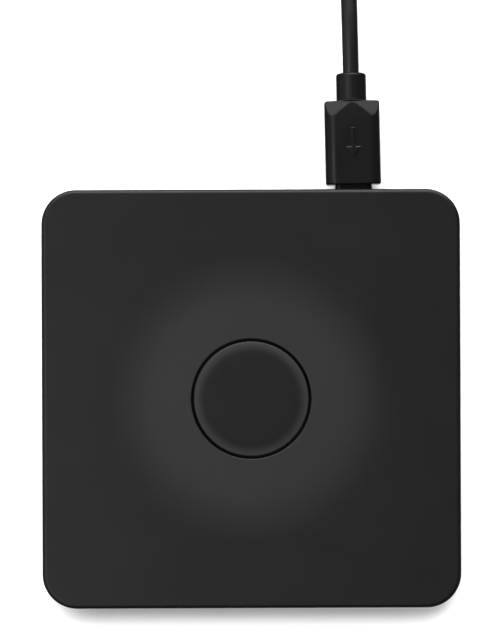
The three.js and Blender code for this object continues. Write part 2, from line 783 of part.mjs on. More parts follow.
function plugGrip() {
  const grip = mouldedGrip({
    width: PLUG_WIDTH,
    thickness: PLUG_THICKNESS,
    edge: PLUG_EDGE_RADIUS,
    shoulder: PLUG_SHOULDER,
    frontY: gripFront,
    backY: gripBack,
    collar: COLLAR_DIAMETER,
    collarLength: COLLAR_LENGTH,
  });
  const neck = barAlongY(
    roundedRectangle(NECK_WIDTH, NECK_HEIGHT, NECK_HEIGHT / 2.5),
    neckFront,
    gripFront + 1,
  );
  const pocket = box(
    plugShellWidth + 2 * GAP,
    SHELL_ROOT + 1,
    -plugShellHeight / 2 - GAP,
    plugShellHeight / 2 + GAP,
    0,
    neckFront + (SHELL_ROOT - 1) / 2,
  );
  return grip.add(neck).subtract(pocket);
}

function plugShell() {
  const root = neckFront + SHELL_ROOT - GAP;
  return flatTube(plugShellWidth, plugShellHeight, PLUG_SHELL_WALL, shellTip, root);
}

// Plastic that fills the back of the plug's shell, behind the socket's tongue
function plugInsert() {
  const front = socketBack + SOCKET_WALL + TONGUE_SIZE[1] + 3 * GAP - leanY;
  const back = neckFront + SHELL_ROOT - GAP;
  const width = plugShellWidth - 2 * (PLUG_SHELL_WALL + GAP);
  const height = plugShellHeight - 2 * (PLUG_SHELL_WALL + GAP);
  return box(width, back - front, -height / 2, height / 2, 0, (front + back) / 2);
}

// The supply plug points along -Y in its own frame, with the collar's end face at Y 0.
const supplyGripBack = -SUPPLY_COLLAR_LENGTH;
const supplyGripFront = supplyGripBack - SUPPLY_LENGTH;
const supplyTip = supplyGripFront - SUPPLY_SHELL[1];

function supplyPlugGrip() {
  const grip = mouldedGrip({
    width: SUPPLY_WIDTH,
    thickness: SUPPLY_THICKNESS,
    edge: SUPPLY_EDGE_RADIUS,
    shoulder: PLUG_SHOULDER,
    frontY: supplyGripFront,
    backY: supplyGripBack,
    collar: SUPPLY_COLLAR_DIAMETER,
    collarLength: SUPPLY_COLLAR_LENGTH,
  });
  const pocket = box(
    SUPPLY_SHELL[0] + 2 * GAP,
    SHELL_ROOT + 1,
    -SUPPLY_SHELL[2] / 2 - GAP,
    SUPPLY_SHELL[2] / 2 + GAP,
    0,
    supplyGripFront + (SHELL_ROOT - 1) / 2,
  );
  return grip.subtract(pocket);
}

function supplyPlugShell() {
  const [width, , height] = SUPPLY_SHELL;
  const root = supplyGripFront + SHELL_ROOT - GAP;
  const shell = flatTube(width, height, SUPPLY_SHELL_WALL, supplyTip, root);
  const windowY = supplyTip + 0.55 * SUPPLY_SHELL[1];
  const windows = [-1, 1].map((side) =>
    box(SUPPLY_WINDOW, SUPPLY_WINDOW, -height, height, (side * width) / 4.5, windowY),
  );
  return shell.subtract(joined(windows));
}

// The contact insert fills the lower half of the shell.
function supplyPlugInsert() {
  const [width, , height] = SUPPLY_SHELL;
  const inset = SUPPLY_SHELL_WALL + GAP;
  const back = supplyGripFront + SHELL_ROOT - GAP;
  const front = supplyTip + 0.4;
  return box(
    width - 2 * inset,
    back - front,
    -height / 2 + inset,
    -height / 2 + inset + 1.8,
    0,
    (front + back) / 2,
  );
}

// ---------------------------------------------------------------- cord

function cordRun() {
  const points = CORD_RUN.map(([along, drop]) => {
    const y = along + CORD_GAP;
    const z = THREE.MathUtils.lerp(plugZ, runEndZ, drop);
    return new THREE.Vector3(exitX - Math.tan(PLUG_LEAN) * y, exitY + y, z);
  });
  return tube(points, CORD_DIAMETER, CORD_SIDES, 14);
}

function cordTail() {
  const points = CORD_TAIL.map(([along, drop]) => {
    const z = THREE.MathUtils.lerp(tailStartZ, supplyZ, drop);
    return new THREE.Vector3(coilX - coilStandback - along, supplyY, z);
  });
  return tube(points, CORD_DIAMETER, CORD_SIDES, 8);
}

// The space that the wound part of the cord takes up
function cordCoil() {
  const chamfer = cordRadius / 2;
  return turned(
    [
      [bundleInnerRadius, coilLift + chamfer],
      [bundleInnerRadius + chamfer, coilLift],
      [bundleOuterRadius - chamfer, coilLift],
      [bundleOuterRadius, coilLift + chamfer],
      [bundleOuterRadius, bundleTop - chamfer],
      [bundleOuterRadius - chamfer, bundleTop],
      [bundleInnerRadius + chamfer, bundleTop],
      [bundleInnerRadius, bundleTop - chamfer],
      [bundleInnerRadius, coilLift + chamfer],
    ],
    48,
  );
}

// A strap round the bundle, made at angle 0 and turned into place
function cordTie() {
  const inner = Math.sqrt((bundleInnerRadius - GAP) ** 2 - (TIE_WIDTH / 2) ** 2) - GAP;
  const outer = bundleOuterRadius + GAP;
  const middle = (inner + outer) / 2;
  const width = outer - inner;
  const strap = box(
    width + 2 * TIE_THICKNESS,
    TIE_WIDTH,
    coilLift - GAP - TIE_THICKNESS,
    bundleTop + GAP + TIE_THICKNESS,
    middle,
  );
  const opening = box(width, TIE_WIDTH + 2, coilLift - GAP, bundleTop + GAP, middle);
  return strap.subtract(opening);
}

// ---------------------------------------------------------------- assembly

function padAssembly() {
  const pad = new THREE.Group();
  pad.add(
    part("top_cover", softTouch, topCover()),
    part("base_cover", baseBlack, baseCover()),
    part("grip_disc", silicone, gripDisc()),
    part("light_guide", smokedClear, lightGuide()),
    part("transmit_coil", copper, transmitCoil()),
    part("coil_wire_outer", copper, outerCoilWire()),
    part("coil_wire_inner", copper, innerCoilWire()),
    part("ferrite_sheet", ferriteGrey, ferriteSheet()),
    part("coil_cradle", cradleWhite, coilCradle()),
    part("circuit_board", boardGreen, circuitBoard()),
    part("socket_shell", nickel, socketShell()),
    part("socket_tongue", insertBlack, socketTongue()),
    ...boardPieces(),
    ...statusLights(),
  );
  for (const [name, x, y] of CORNERS) {
    const rubberFoot = part(`foot_${name}`, footRubber, foot());
    const screw = part(`case_screw_${name}`, zincSteel, caseScrew());
    rubberFoot.position.set(x * corner, y * corner, 0);
    screw.position.set(x * corner, y * corner, 0);
    pad.add(rubberFoot, screw);
  }
  return pad;
}

function padPlug() {
  const plug = new THREE.Group();
  plug.position.set(socketX, leanY, plugZ);
  plug.rotation.z = PLUG_LEAN;
  plug.add(
    part("plug_grip", plugBlack, plugGrip()),
    part("plug_shell", nickel, plugShell()),
    part("plug_insert", insertBlack, plugInsert()),
  );
  return plug;
}

function supplyPlug() {
  const plug = new THREE.Group();
  plug.position.set(supplyX, supplyY, supplyZ);
  plug.rotation.z = -Math.PI / 2;
  plug.add(
    part("supply_plug_grip", plugBlack, supplyPlugGrip()),
    part("supply_plug_shell", nickel, supplyPlugShell()),
    part("supply_plug_insert", insertBlack, supplyPlugInsert()),
  );
  return plug;
}

function woundCord() {
  const wound = new THREE.Group();
  wound.position.set(coilX, coilY, 0);
  const tie = part("cord_tie", tieBlack, cordTie());
  tie.rotation.z = TIE_ANGLE;
  wound.add(part("cord_coil", cordBlack, cordCoil()), tie);
  return wound;
}

const chargingPad = new THREE.Group();
chargingPad.name = "wireless_charging_pad";
chargingPad.add(
  padAssembly(),
  padPlug(),
  part("cord", cordBlack, cordRun()),
  part("cord_tail", cordBlack, cordTail()),
  woundCord(),
  supplyPlug(),
);

export default chargingPad;
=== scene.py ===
"""Dresses a square wireless charging pad and its plug-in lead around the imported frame, in metres."""

from __future__ import annotations

import json
import logging
import math
from dataclasses import dataclass, field
from enum import Enum
from typing import Any, Callable, Iterable, Sequence

import bmesh
import bpy
from mathutils import Matrix, Vector

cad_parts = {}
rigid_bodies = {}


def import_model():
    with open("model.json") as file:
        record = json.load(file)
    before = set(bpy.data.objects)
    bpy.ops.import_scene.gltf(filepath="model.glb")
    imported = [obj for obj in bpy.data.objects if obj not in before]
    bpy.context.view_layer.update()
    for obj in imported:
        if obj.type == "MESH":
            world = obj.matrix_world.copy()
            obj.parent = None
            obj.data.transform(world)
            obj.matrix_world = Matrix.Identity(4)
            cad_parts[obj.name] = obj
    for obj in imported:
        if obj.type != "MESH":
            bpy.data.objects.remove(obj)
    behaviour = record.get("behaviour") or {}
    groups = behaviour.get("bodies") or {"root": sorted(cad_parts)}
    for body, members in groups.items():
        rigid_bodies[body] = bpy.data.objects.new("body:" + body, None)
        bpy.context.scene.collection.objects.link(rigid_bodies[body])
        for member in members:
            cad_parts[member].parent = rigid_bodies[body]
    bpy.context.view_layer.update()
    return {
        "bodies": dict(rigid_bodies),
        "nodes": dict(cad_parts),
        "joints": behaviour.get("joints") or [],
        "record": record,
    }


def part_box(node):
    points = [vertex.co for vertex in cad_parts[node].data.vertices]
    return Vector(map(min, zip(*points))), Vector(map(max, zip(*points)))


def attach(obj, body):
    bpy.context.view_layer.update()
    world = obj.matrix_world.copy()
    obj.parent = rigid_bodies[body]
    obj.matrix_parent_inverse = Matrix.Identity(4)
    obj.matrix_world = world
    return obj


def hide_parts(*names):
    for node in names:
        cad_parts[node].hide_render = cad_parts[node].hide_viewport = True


LOG = logging.getLogger("charging_pad")
MM = 0.001

Colour = tuple[float, float, float]
Loop = list[Vector]
Flat = list[tuple[float, float]]


def grey(value: float) -> Colour:
    """Returns an even grey."""
    return (value, value, value)


def stand(name: str, data: bpy.types.ID) -> bpy.types.Object:
    """Puts a new object with some data in the scene."""
    made = bpy.data.objects.new(name, data)
    bpy.context.scene.collection.objects.link(made)
    return made


def plan_centre(low: Vector, high: Vector) -> tuple[float, float]:
    """Returns the middle of a box, seen from above."""
    return ((low.x + high.x) / 2, (low.y + high.y) / 2)


# ------------------------------------------------------------------ making meshes


class Ends(Enum):
    """How a loft closes: with a face at each end, or round into itself."""

    CAPPED = "capped"
    JOINED = "joined"


class Carving(Enum):
    """What one skin does to another."""

    CUT = "DIFFERENCE"
    JOIN = "UNION"


@dataclass(frozen=True)
class Section:
    """A rounded rectangle about the origin, listed anticlockwise.

    Args:
        half_width: Half its size along the first axis.
        half_height: Half its size along the second axis.
        radius: Corner radius.
        steps: Segments in each corner.
    """

    half_width: float
    half_height: float
    radius: float
    steps: int = 8

    def points(self) -> Flat:
        """Returns the outline's points."""
        outline: Flat = []
        for turn, (sx, sy) in enumerate(((1, 1), (-1, 1), (-1, -1), (1, -1))):
            for step in range(self.steps + 1):
                angle = math.pi / 2 * (turn + step / self.steps)
                outline.append(
                    (
                        sx * (self.half_width - self.radius) + self.radius * math.cos(angle),
                        sy * (self.half_height - self.radius) + self.radius * math.sin(angle),
                    )
                )
        return outline

    def inset(self, amount: float) -> Section:
        """Returns the same section drawn in by an amount on every side."""
        return Section(
            self.half_width - amount,
            self.half_height - amount,
            max(self.radius - amount, 0.05 * MM),
            self.steps,
        )


def rounded_outline(
    half_width: float, half_height: float, radius: float, directions: Sequence[float]
) -> Flat:
    """Finds a rounded rectangle's outline in a list of directions from its middle.

    Args:
        half_width: Half its size along the first axis.
        half_height: Half its size along the second axis.
        radius: Corner radius.
        directions: The directions, in radians.

    Returns:
        One point in each direction.
    """
    core_x, core_y = half_width - radius, half_height - radius
    points = []
    for angle in directions:
        along, across = abs(math.cos(angle)), abs(math.sin(angle))
        reach = min(half_width / max(along, 1e-9), half_height / max(across, 1e-9))
        if reach * along > core_x and reach * across > core_y:
            middle = along * core_x + across * core_y
            reach = middle + math.sqrt(middle**2 - (core_x**2 + core_y**2 - radius**2))
        points.append((reach * math.cos(angle), reach * math.sin(angle)))
    return points


def circle(radius: float, sides: int) -> Flat:
    """Returns a circle's points, anticlockwise."""
    return [
        (radius * math.cos(2 * math.pi * i / sides), radius * math.sin(2 * math.pi * i / sides))
        for i in range(sides)
    ]


def at_height(points: Flat, z: float, centre: tuple[float, float] = (0.0, 0.0)) -> Loop:
    """Lays a flat outline level at a height, about a centre."""
    return [Vector((centre[0] + x, centre[1] + y, z)) for x, y in points]


def across_y(points: Flat, y: float) -> Loop:
    """Stands a flat outline upright across the Y axis."""
    return [Vector((x, y, z)) for x, z in points]


def arc(
    centre: tuple[float, float], radius: float, start: float, end: float, steps: int
) -> Flat:
    """Lists points along an arc.

    Args:
        centre: The arc's centre.
        radius: Its radius.
        start: First angle, in degrees.
        end: Last angle, in degrees.
        steps: Segments along it.

    Returns:
        The points, both ends included.
    """
    angles = (math.radians(start + (end - start) * i / steps) for i in range(steps + 1))
    return [(centre[0] + radius * math.cos(a), centre[1] + radius * math.sin(a)) for a in angles]


class Skin:
    """Gathers closed skins in one mesh and makes a piece of them."""

    def __init__(self) -> None:
        """Starts with an empty mesh."""
        self.mesh = bmesh.new()

    def loft(self, loops: Sequence[Loop], ends: Ends = Ends.CAPPED, material: int = 0) -> Skin:
        """Adds a skin through loops that have the same number of points.

        Args:
            loops: The loops, in order.
            ends: How the skin closes.
            material: Index of the material that it takes.

        Returns:
            This skin.
        """
        rows = [[self.mesh.verts.new(point) for point in loop] for loop in loops]
        pairs = list(zip(rows, rows[1:]))
        if ends is Ends.JOINED:
            pairs.append((rows[-1], rows[0]))
        faces = []
        for low, high in pairs:
            for i, corner in enumerate(low):
                j = (i + 1) % len(low)
                faces.append(self.mesh.faces.new((corner, low[j], high[j], high[i])))
        if ends is Ends.CAPPED:
            faces.append(self.mesh.faces.new(rows[0][::-1]))
            faces.append(self.mesh.faces.new(rows[-1]))
        for face in faces:
            face.material_index = material
        return self

    def turned(
        self,
        profile: Flat,
        centre: tuple[float, float] = (0.0, 0.0),
        sides: int = 48,
        ends: Ends = Ends.CAPPED,
    ) -> Skin:
        """Adds a profile of (radius, height) points turned about an upright axis.

        Args:
            profile: The profile, each radius above 0.
            centre: Where the axis stands.
            sides: Segments round it.
            ends: Capped for a solid, joined for a ring.

        Returns:
            This skin.
        """
        loops = [at_height(circle(radius, sides), z, centre) for radius, z in profile]
        return self.loft(loops, ends)

    def block(self, low: Vector, high: Vector, edge: float, material: int = 0) -> Skin:
        """Adds a box with rounded corners and softened upper and lower edges.

        Args:
            low: Its lowest corner.
            high: Its highest corner.
            edge: Size of the rounding.
            material: Index of the material that it takes.

        Returns:
            This skin.
        """
        centre = plan_centre(low, high)
        whole = Section((high.x - low.x) / 2, (high.y - low.y) / 2, 1.4 * edge, 4)
        levels = (
            (edge, low.z),
            (0.3 * edge, low.z + 0.3 * edge),
            (0.0, low.z + edge),
            (0.0, high.z - edge),
            (0.3 * edge, high.z - 0.3 * edge),
            (edge, high.z),
        )
        loops = [at_height(whole.inset(by).points(), z, centre) for by, z in levels]
        return self.loft(loops, Ends.CAPPED, material)

    def moved(self, matrix: Matrix) -> Skin:
        """Moves everything made so far, and returns this skin."""
        bmesh.ops.transform(self.mesh, matrix=matrix, verts=self.mesh.verts)
        return self

    def _loose(self, name: str) -> bpy.types.Object:
        """Makes a short-lived object of the mesh."""
        bmesh.ops.recalc_face_normals(self.mesh, faces=self.mesh.faces)
        data = bpy.data.meshes.new(name)
        self.mesh.to_mesh(data)
        return stand(name, data)

    def carve(self, tool: Skin, how: Carving) -> Skin:
        """Cuts another skin out of this one, or joins it on.

        Args:
            tool: The other skin, which is used up.
            how: Whether it cuts or joins.

        Returns:
            This skin.
        """
        body = self._loose("carved_body")
        cutter = tool._loose("carving_tool")
        modifier = body.modifiers.new("carve", "BOOLEAN")
        modifier.operation = how.value
        modifier.solver = "EXACT"
        modifier.object = cutter
        evaluated = body.evaluated_get(bpy.context.evaluated_depsgraph_get())
        result = bpy.data.meshes.new_from_object(evaluated)
        self.mesh.free()
        self.mesh = bmesh.new()
        self.mesh.from_mesh(result)
        for spent in (body, cutter):
            data = spent.data
            bpy.data.objects.remove(spent)
            bpy.data.meshes.remove(data)
        bpy.data.meshes.remove(result)
        tool.mesh.free()
        return self

    def piece(
        self, name: str, materials: Sequence[bpy.types.Material], sharp: float = 32.0
    ) -> bpy.types.Object:
        """Makes the finished object, smooth except along its sharp edges.

        Args:
            name: The piece's name.
            materials: Its materials, by index.
            sharp: Angle in degrees from which an edge stays sharp.

        Returns:
            The object.
        """
        bmesh.ops.remove_doubles(self.mesh, verts=self.mesh.verts, dist=0.0005 * MM)
        bmesh.ops.recalc_face_normals(self.mesh, faces=self.mesh.faces)
        soften(self.mesh, sharp)
        data = bpy.data.meshes.new(name)
        self.mesh.to_mesh(data)
        self.mesh.free()
        for material in materials:
            data.materials.append(material)
        made = stand(name, data)
        keep_flats_flat(made)
        return made


def soften(mesh: bmesh.types.BMesh, sharp: float) -> None:
    """Shades a mesh smooth, with sharp edges where its faces meet at more than an angle.

    Args:
        mesh: The mesh.
        sharp: The angle, in degrees.
    """
    limit = math.radians(sharp)
    for face in mesh.faces:
        face.smooth = True
    for edge in mesh.edges:
        edge.smooth = len(edge.link_faces) != 2 or edge.calc_face_angle(0.0) < limit


def keep_flats_flat(made: bpy.types.Object) -> None:
    """Weights an object's normals by face area, so that flat faces shade flat."""
    modifier = made.modifiers.new("weighted_normals", "WEIGHTED_NORMAL")
    modifier.keep_sharp = True
    modifier.weight = 80


# ------------------------------------------------------------------ node graphs


class Graph:
    """Short ways to add nodes to a tree and link them."""

    def __init__(self, tree: bpy.types.NodeTree) -> None:
        """Takes the tree to build in."""
        self.tree = tree

    def add(self, kind: str, **settings: Any) -> bpy.types.Node:
        """Adds a node of a kind, with its settings."""
        node = self.tree.nodes.new(kind)
        for key, value in settings.items():
            setattr(node, key, value)
        return node

    def feed(self, socket: bpy.types.NodeSocket, value: Any) -> None:
        """Links an output to a socket, or sets the socket's own value."""
        if isinstance(value, bpy.types.NodeSocket):
            self.tree.links.new(value, socket)
        else:
            socket.default_value = value

    def math(self, operation: str, first: Any, second: Any = 0.0) -> bpy.types.NodeSocket:
        """Adds a Math node and returns its output."""
        node = self.add("ShaderNodeMath", operation=operation)
        self.feed(node.inputs[0], first)
        self.feed(node.inputs[1], second)
        return node.outputs[0]

    def ramp(
        self, value: Any, low: float, high: float, to_low: float = 0.0, to_high: float = 1.0
    ) -> bpy.types.NodeSocket:
        """Eases a value from one range to another.

        Args:
            value: The socket to read.
            low: Value that gives to_low.
            high: Value that gives to_high.
            to_low: Result at low.
            to_high: Result at high.

        Returns:
            The eased value.
        """
        node = self.add("ShaderNodeMapRange", interpolation_type="SMOOTHSTEP")
        self.feed(node.inputs["Value"], value)
        node.inputs["From Min"].default_value = low
        node.inputs["From Max"].default_value = high
        node.inputs["To Min"].default_value = to_low
        node.inputs["To Max"].default_value = to_high
        return node.outputs["Result"]

    def blend(self, mask: Any, first: Any, second: Any) -> bpy.types.NodeSocket:
        """Mixes two colours by a mask and returns the result."""
        node = self.add("ShaderNodeMix", data_type="RGBA")
        self.feed(node.inputs[0], mask)
        self.feed(node.inputs[6], first)
        self.feed(node.inputs[7], second)
        return node.outputs[2]

    def noise(
        self, vector: Any, scale: Any, detail: float = 2.0, roughness: float = 0.5
    ) -> bpy.types.NodeSocket:
        """Adds a Noise texture and returns its value."""
        node = self.add("ShaderNodeTexNoise")
        self.feed(node.inputs["Vector"], vector)
        self.feed(node.inputs["Scale"], scale)
        node.inputs["Detail"].default_value = detail
        node.inputs["Roughness"].default_value = roughness
        return node.outputs["Fac"]

    def cells(self, vector: Any, scale: Any, feature: str = "F1") -> bpy.types.NodeSocket:
        """Adds a Voronoi texture and returns its distance."""
        node = self.add("ShaderNodeTexVoronoi", feature=feature)
        self.feed(node.inputs["Vector"], vector)
        self.feed(node.inputs["Scale"], scale)
        return node.outputs["Distance"]

    def stretched(self, vector: Any, by: tuple[float, float, float]) -> bpy.types.NodeSocket:
        """Scales a vector along each axis."""
        node = self.add("ShaderNodeVectorMath", operation="MULTIPLY")
        self.feed(node.inputs[0], vector)
        node.inputs[1].default_value = by
        return node.outputs[0]

    def parts(self, vector: Any) -> bpy.types.NodeOutputs:
        """Splits a vector and returns its three outputs."""
        node = self.add("ShaderNodeSeparateXYZ")
        self.feed(node.inputs[0], vector)
        return node.outputs

    def reach(self, vector: Any) -> bpy.types.NodeSocket:
        """Returns how far a point stands from the Z axis."""
        level = self.stretched(vector, (1.0, 1.0, 0.0))
        node = self.add("ShaderNodeVectorMath", operation="LENGTH")
        self.feed(node.inputs[0], level)
        return node.outputs["Value"]


class Effect(Enum):
    """The shared node groups. Each pattern gives Height, Tint and Gloss."""

    MOULDED = "moulded_grain"
    SILICONE = "silicone_skin"
    SHEATH = "extruded_sheath"
    METAL = "drawn_metal"
    WOVEN = "woven_tape"
    BOARD = "board_print"
    WINDING = "wound_strands"
    MINERAL = "sintered_mineral"
    CAST = "cast_clear"
    EDGES = "edge_polish"
    HANDLING = "handling_marks"
    ROUND_BAND = "round_band"


PatternOutputs = tuple[Any, Any, Any]


class Shelf:
    """Builds each shared node group once."""

    def __init__(self) -> None:
        """Builds the patterns and the wear effects."""
        self.groups: dict[Effect, bpy.types.NodeTree] = {}
        patterns: dict[Effect, Callable[[Graph, Any, Any], PatternOutputs]] = {
            Effect.MOULDED: self._moulded,
            Effect.SILICONE: self._silicone,
            Effect.SHEATH: self._sheath,
            Effect.METAL: self._metal,
            Effect.WOVEN: self._woven,
            Effect.BOARD: self._board,
            Effect.WINDING: self._winding,
            Effect.MINERAL: self._mineral,
            Effect.CAST: self._cast,
        }
        for effect, make in patterns.items():
            graph, given, made = self._open(effect, ("Height", "Tint", "Gloss"), {"Scale": 1.0})
            results = make(graph, given.outputs["Vector"], given.outputs["Scale"])
            for socket, value in zip(made.inputs, results):
                graph.feed(socket, value)
        self._edges()
        self._handling()
        self._round_band()

    def _open(
        self, effect: Effect, outputs: Iterable[str], inputs: dict[str, float]
    ) -> tuple[Graph, bpy.types.Node, bpy.types.Node]:
        """Starts a group with a Vector input, number inputs and number outputs."""
        tree = bpy.data.node_groups.new(effect.value, "ShaderNodeTree")
        tree.interface.new_socket("Vector", in_out="INPUT", socket_type="NodeSocketVector")
        for name, value in inputs.items():
            socket = tree.interface.new_socket(
                name, in_out="INPUT", socket_type="NodeSocketFloat"
            )
            socket.default_value = value
        for name in outputs:
            tree.interface.new_socket(name, in_out="OUTPUT", socket_type="NodeSocketFloat")
        self.groups[effect] = tree
        graph = Graph(tree)
        return graph, graph.add("NodeGroupInput"), graph.add("NodeGroupOutput")

    def use(
        self, graph: Graph, effect: Effect, vector: Any, **values: float
    ) -> bpy.types.NodeOutputs:
        """Places a group in a material and returns its outputs."""
        node = graph.add("ShaderNodeGroup", node_tree=self.groups[effect])
        graph.feed(node.inputs["Vector"], vector)
        for name, value in values.items():
            node.inputs[name].default_value = value
        return node.outputs

    @staticmethod
    def _moulded(graph: Graph, vector: Any, scale: Any) -> PatternOutputs:
        """Spark-eroded plastic: packed rounded grains with a few finer pits."""
        grains = graph.ramp(graph.cells(vector, scale), 0.1, 0.75, 1.0, 0.0)
        pits = graph.noise(vector, graph.math("MULTIPLY", scale, 2.6), 3.0, 0.6)
        height = graph.math("ADD", graph.math("MULTIPLY", grains, 0.6), pits)
        drift = graph.noise(vector, graph.math("MULTIPLY", scale, 0.02), 3.0)
        return height, graph.ramp(drift, 0.35, 0.7), graph.ramp(pits, 0.3, 0.7)

    @staticmethod
    def _silicone(graph: Graph, vector: Any, scale: Any) -> PatternOutputs:
        """Soft rubber: a silky skin with faint clouds and specks of lint."""
        skin = graph.noise(vector, scale, 4.0, 0.65)
        clouds = graph.noise(vector, graph.math("MULTIPLY", scale, 0.06), 3.0)
        lint = graph.ramp(graph.cells(vector, graph.math("MULTIPLY", scale, 0.3)), 0.0, 0.09, 1.0, 0.0)
        tint = graph.math("MAXIMUM", graph.ramp(clouds, 0.35, 0.75, 0.0, 0.6), lint)
        return skin, tint, graph.ramp(clouds, 0.3, 0.7)

    @staticmethod
    def _sheath(graph: Graph, vector: Any, scale: Any) -> PatternOutputs:
        """Extruded cord sheath: a smooth skin with faint waves and dust."""
        skin = graph.noise(vector, scale, 3.0, 0.55)
        waves = graph.noise(vector, graph.math("MULTIPLY", scale, 0.12), 2.0)
        height = graph.math("ADD", graph.math("MULTIPLY", skin, 0.5), waves)
        return height, graph.ramp(skin, 0.45, 0.8), graph.ramp(waves, 0.3, 0.7)

    @staticmethod
    def _metal(graph: Graph, vector: Any, scale: Any) -> PatternOutputs:
        """Plated sheet: fine drawing lines along Y and soft stains."""
        lines = graph.noise(graph.stretched(vector, (1.0, 0.05, 1.0)), scale, 3.0, 0.7)
        stains = graph.noise(vector, graph.math("MULTIPLY", scale, 0.08), 3.0)
        return lines, graph.ramp(stains, 0.4, 0.75), graph.ramp(lines, 0.35, 0.7)

    @staticmethod
    def _woven(graph: Graph, vector: Any, scale: Any) -> PatternOutputs:
        """Hook-and-loop tape: a pile of small loops with fuzz."""
        loops = graph.ramp(graph.cells(vector, scale), 0.05, 0.7, 1.0, 0.0)
        fuzz = graph.noise(vector, graph.math("MULTIPLY", scale, 3.0), 4.0, 0.7)
        height = graph.math("ADD", loops, graph.math("MULTIPLY", fuzz, 0.6))
        return height, graph.math("MULTIPLY", loops, fuzz), graph.ramp(fuzz, 0.3, 0.7)

    @staticmethod
    def _board(graph: Graph, vector: Any, scale: Any) -> PatternOutputs:
        """Printed board: tracks in straight cells under the mask, and round vias."""
        tracks = graph.add("ShaderNodeTexBrick", offset=0.37, squash=1.6, squash_frequency=3)
        graph.feed(tracks.inputs["Vector"], vector)
        graph.feed(tracks.inputs["Scale"], scale)
        tracks.inputs["Mortar Size"].default_value = 0.045
        vias = graph.ramp(
            graph.cells(vector, graph.math("MULTIPLY", scale, 0.6)), 0.1, 0.16, 1.0, 0.0
        )
        copper = graph.math("MAXIMUM", tracks.outputs["Fac"], vias)
        weave = graph.noise(vector, graph.math("MULTIPLY", scale, 6.0), 2.0)
        height = graph.math("ADD", copper, graph.math("MULTIPLY", weave, 0.15))
        return height, copper, graph.ramp(weave, 0.3, 0.7)

    @staticmethod
    def _winding(graph: Graph, vector: Any, scale: Any) -> PatternOutputs:
        """Stranded wire laid in rings: fine strands that follow the turns."""
        wave = graph.add("ShaderNodeTexWave", wave_type="RINGS", rings_direction="Z")
        graph.feed(wave.inputs["Vector"], vector)
        graph.feed(wave.inputs["Scale"], scale)
        wave.inputs["Distortion"].default_value = 1.2
        strands = wave.outputs["Fac"]
        enamel = graph.noise(vector, graph.math("MULTIPLY", scale, 0.4), 3.0)
        return strands, graph.ramp(enamel, 0.35, 0.75), graph.ramp(strands, 0.2, 0.8)

    @staticmethod
    def _mineral(graph: Graph, vector: Any, scale: Any) -> PatternOutputs:
        """Ferrite and ceramic: a dry pressed surface with hairline cracks."""
        grit = graph.noise(vector, scale, 5.0, 0.7)
        cracks = graph.cells(vector, graph.math("MULTIPLY", scale, 0.05), "DISTANCE_TO_EDGE")
        lines = graph.ramp(cracks, 0.0, 0.02, 1.0, 0.0)
        height = graph.math("SUBTRACT", grit, lines)
        return height, graph.ramp(grit, 0.35, 0.7), lines

    @staticmethod
    def _cast(graph: Graph, vector: Any, scale: Any) -> PatternOutputs:
        """Clear cast or polished plastic: slow flow lines and fine scuffs."""
        flow = graph.noise(vector, graph.math("MULTIPLY", scale, 0.05), 1.0)
        scuffs = graph.noise(graph.stretched(vector, (1.0, 0.2, 1.0)), scale, 2.0, 0.8)
        return flow, graph.ramp(flow, 0.35, 0.7), graph.ramp(scuffs, 0.5, 0.8)

    def _edges(self) -> None:
        """Polish along convex edges, broken up by handling."""
        graph, given, made = self._open(Effect.EDGES, ("Mask",), {"Radius": 0.3 * MM})
        bevel = graph.add("ShaderNodeBevel", samples=4)
        graph.feed(bevel.inputs["Radius"], given.outputs["Radius"])
        geometry = graph.add("ShaderNodeNewGeometry")
        dot = graph.add("ShaderNodeVectorMath", operation="DOT_PRODUCT")
        graph.feed(dot.inputs[0], bevel.outputs["Normal"])
        graph.feed(dot.inputs[1], geometry.outputs["Normal"])
        edge = graph.ramp(dot.outputs["Value"], 0.9, 0.995, 1.0, 0.0)
        breaks = graph.noise(given.outputs["Vector"], 700.0, 3.0, 0.6)
        graph.feed(
            made.inputs["Mask"], graph.math("MULTIPLY", edge, graph.ramp(breaks, 0.3, 0.6))
        )

    def _handling(self) -> None:
        """Soft smudges, and sparse specks of dust."""
        graph, given, made = self._open(Effect.HANDLING, ("Smudge", "Dust"), {"Scale": 60.0})
        vector, scale = given.outputs["Vector"], given.outputs["Scale"]
        smudge = graph.ramp(graph.noise(vector, scale, 4.0, 0.6), 0.4, 0.72)
        near = graph.cells(vector, graph.math("MULTIPLY", scale, 14.0))
        sparse = graph.ramp(graph.noise(vector, graph.math("MULTIPLY", scale, 2.0)), 0.5, 0.7)
        dust = graph.math("MULTIPLY", graph.ramp(near, 0.02, 0.07, 1.0, 0.0), sparse)
        graph.feed(made.inputs["Smudge"], smudge)
        graph.feed(made.inputs["Dust"], dust)

    def _round_band(self) -> None:
        """1 inside a radius about the Z axis, easing to 0 outside it."""
        graph, given, made = self._open(
            Effect.ROUND_BAND, ("Mask",), {"Radius": 25 * MM, "Softness": 3 * MM}
        )
        reach = graph.reach(given.outputs["Vector"])
        outside = graph.math("SUBTRACT", reach, given.outputs["Radius"])
        share = graph.math("DIVIDE", outside, given.outputs["Softness"])
        graph.feed(made.inputs["Mask"], graph.ramp(share, -1.0, 1.0, 1.0, 0.0))


# ------------------------------------------------------------------ finishes


@dataclass(frozen=True)
class PaintedLightRound:
    """A round area about the middle of the pad painted another colour to stand for light: a painted
    sheen.

    Args:
        radius: Its radius.
        softness: Half the width over which it fades.
        colour: Its colour.
    """

    radius: float
    softness: float
    colour: Colour


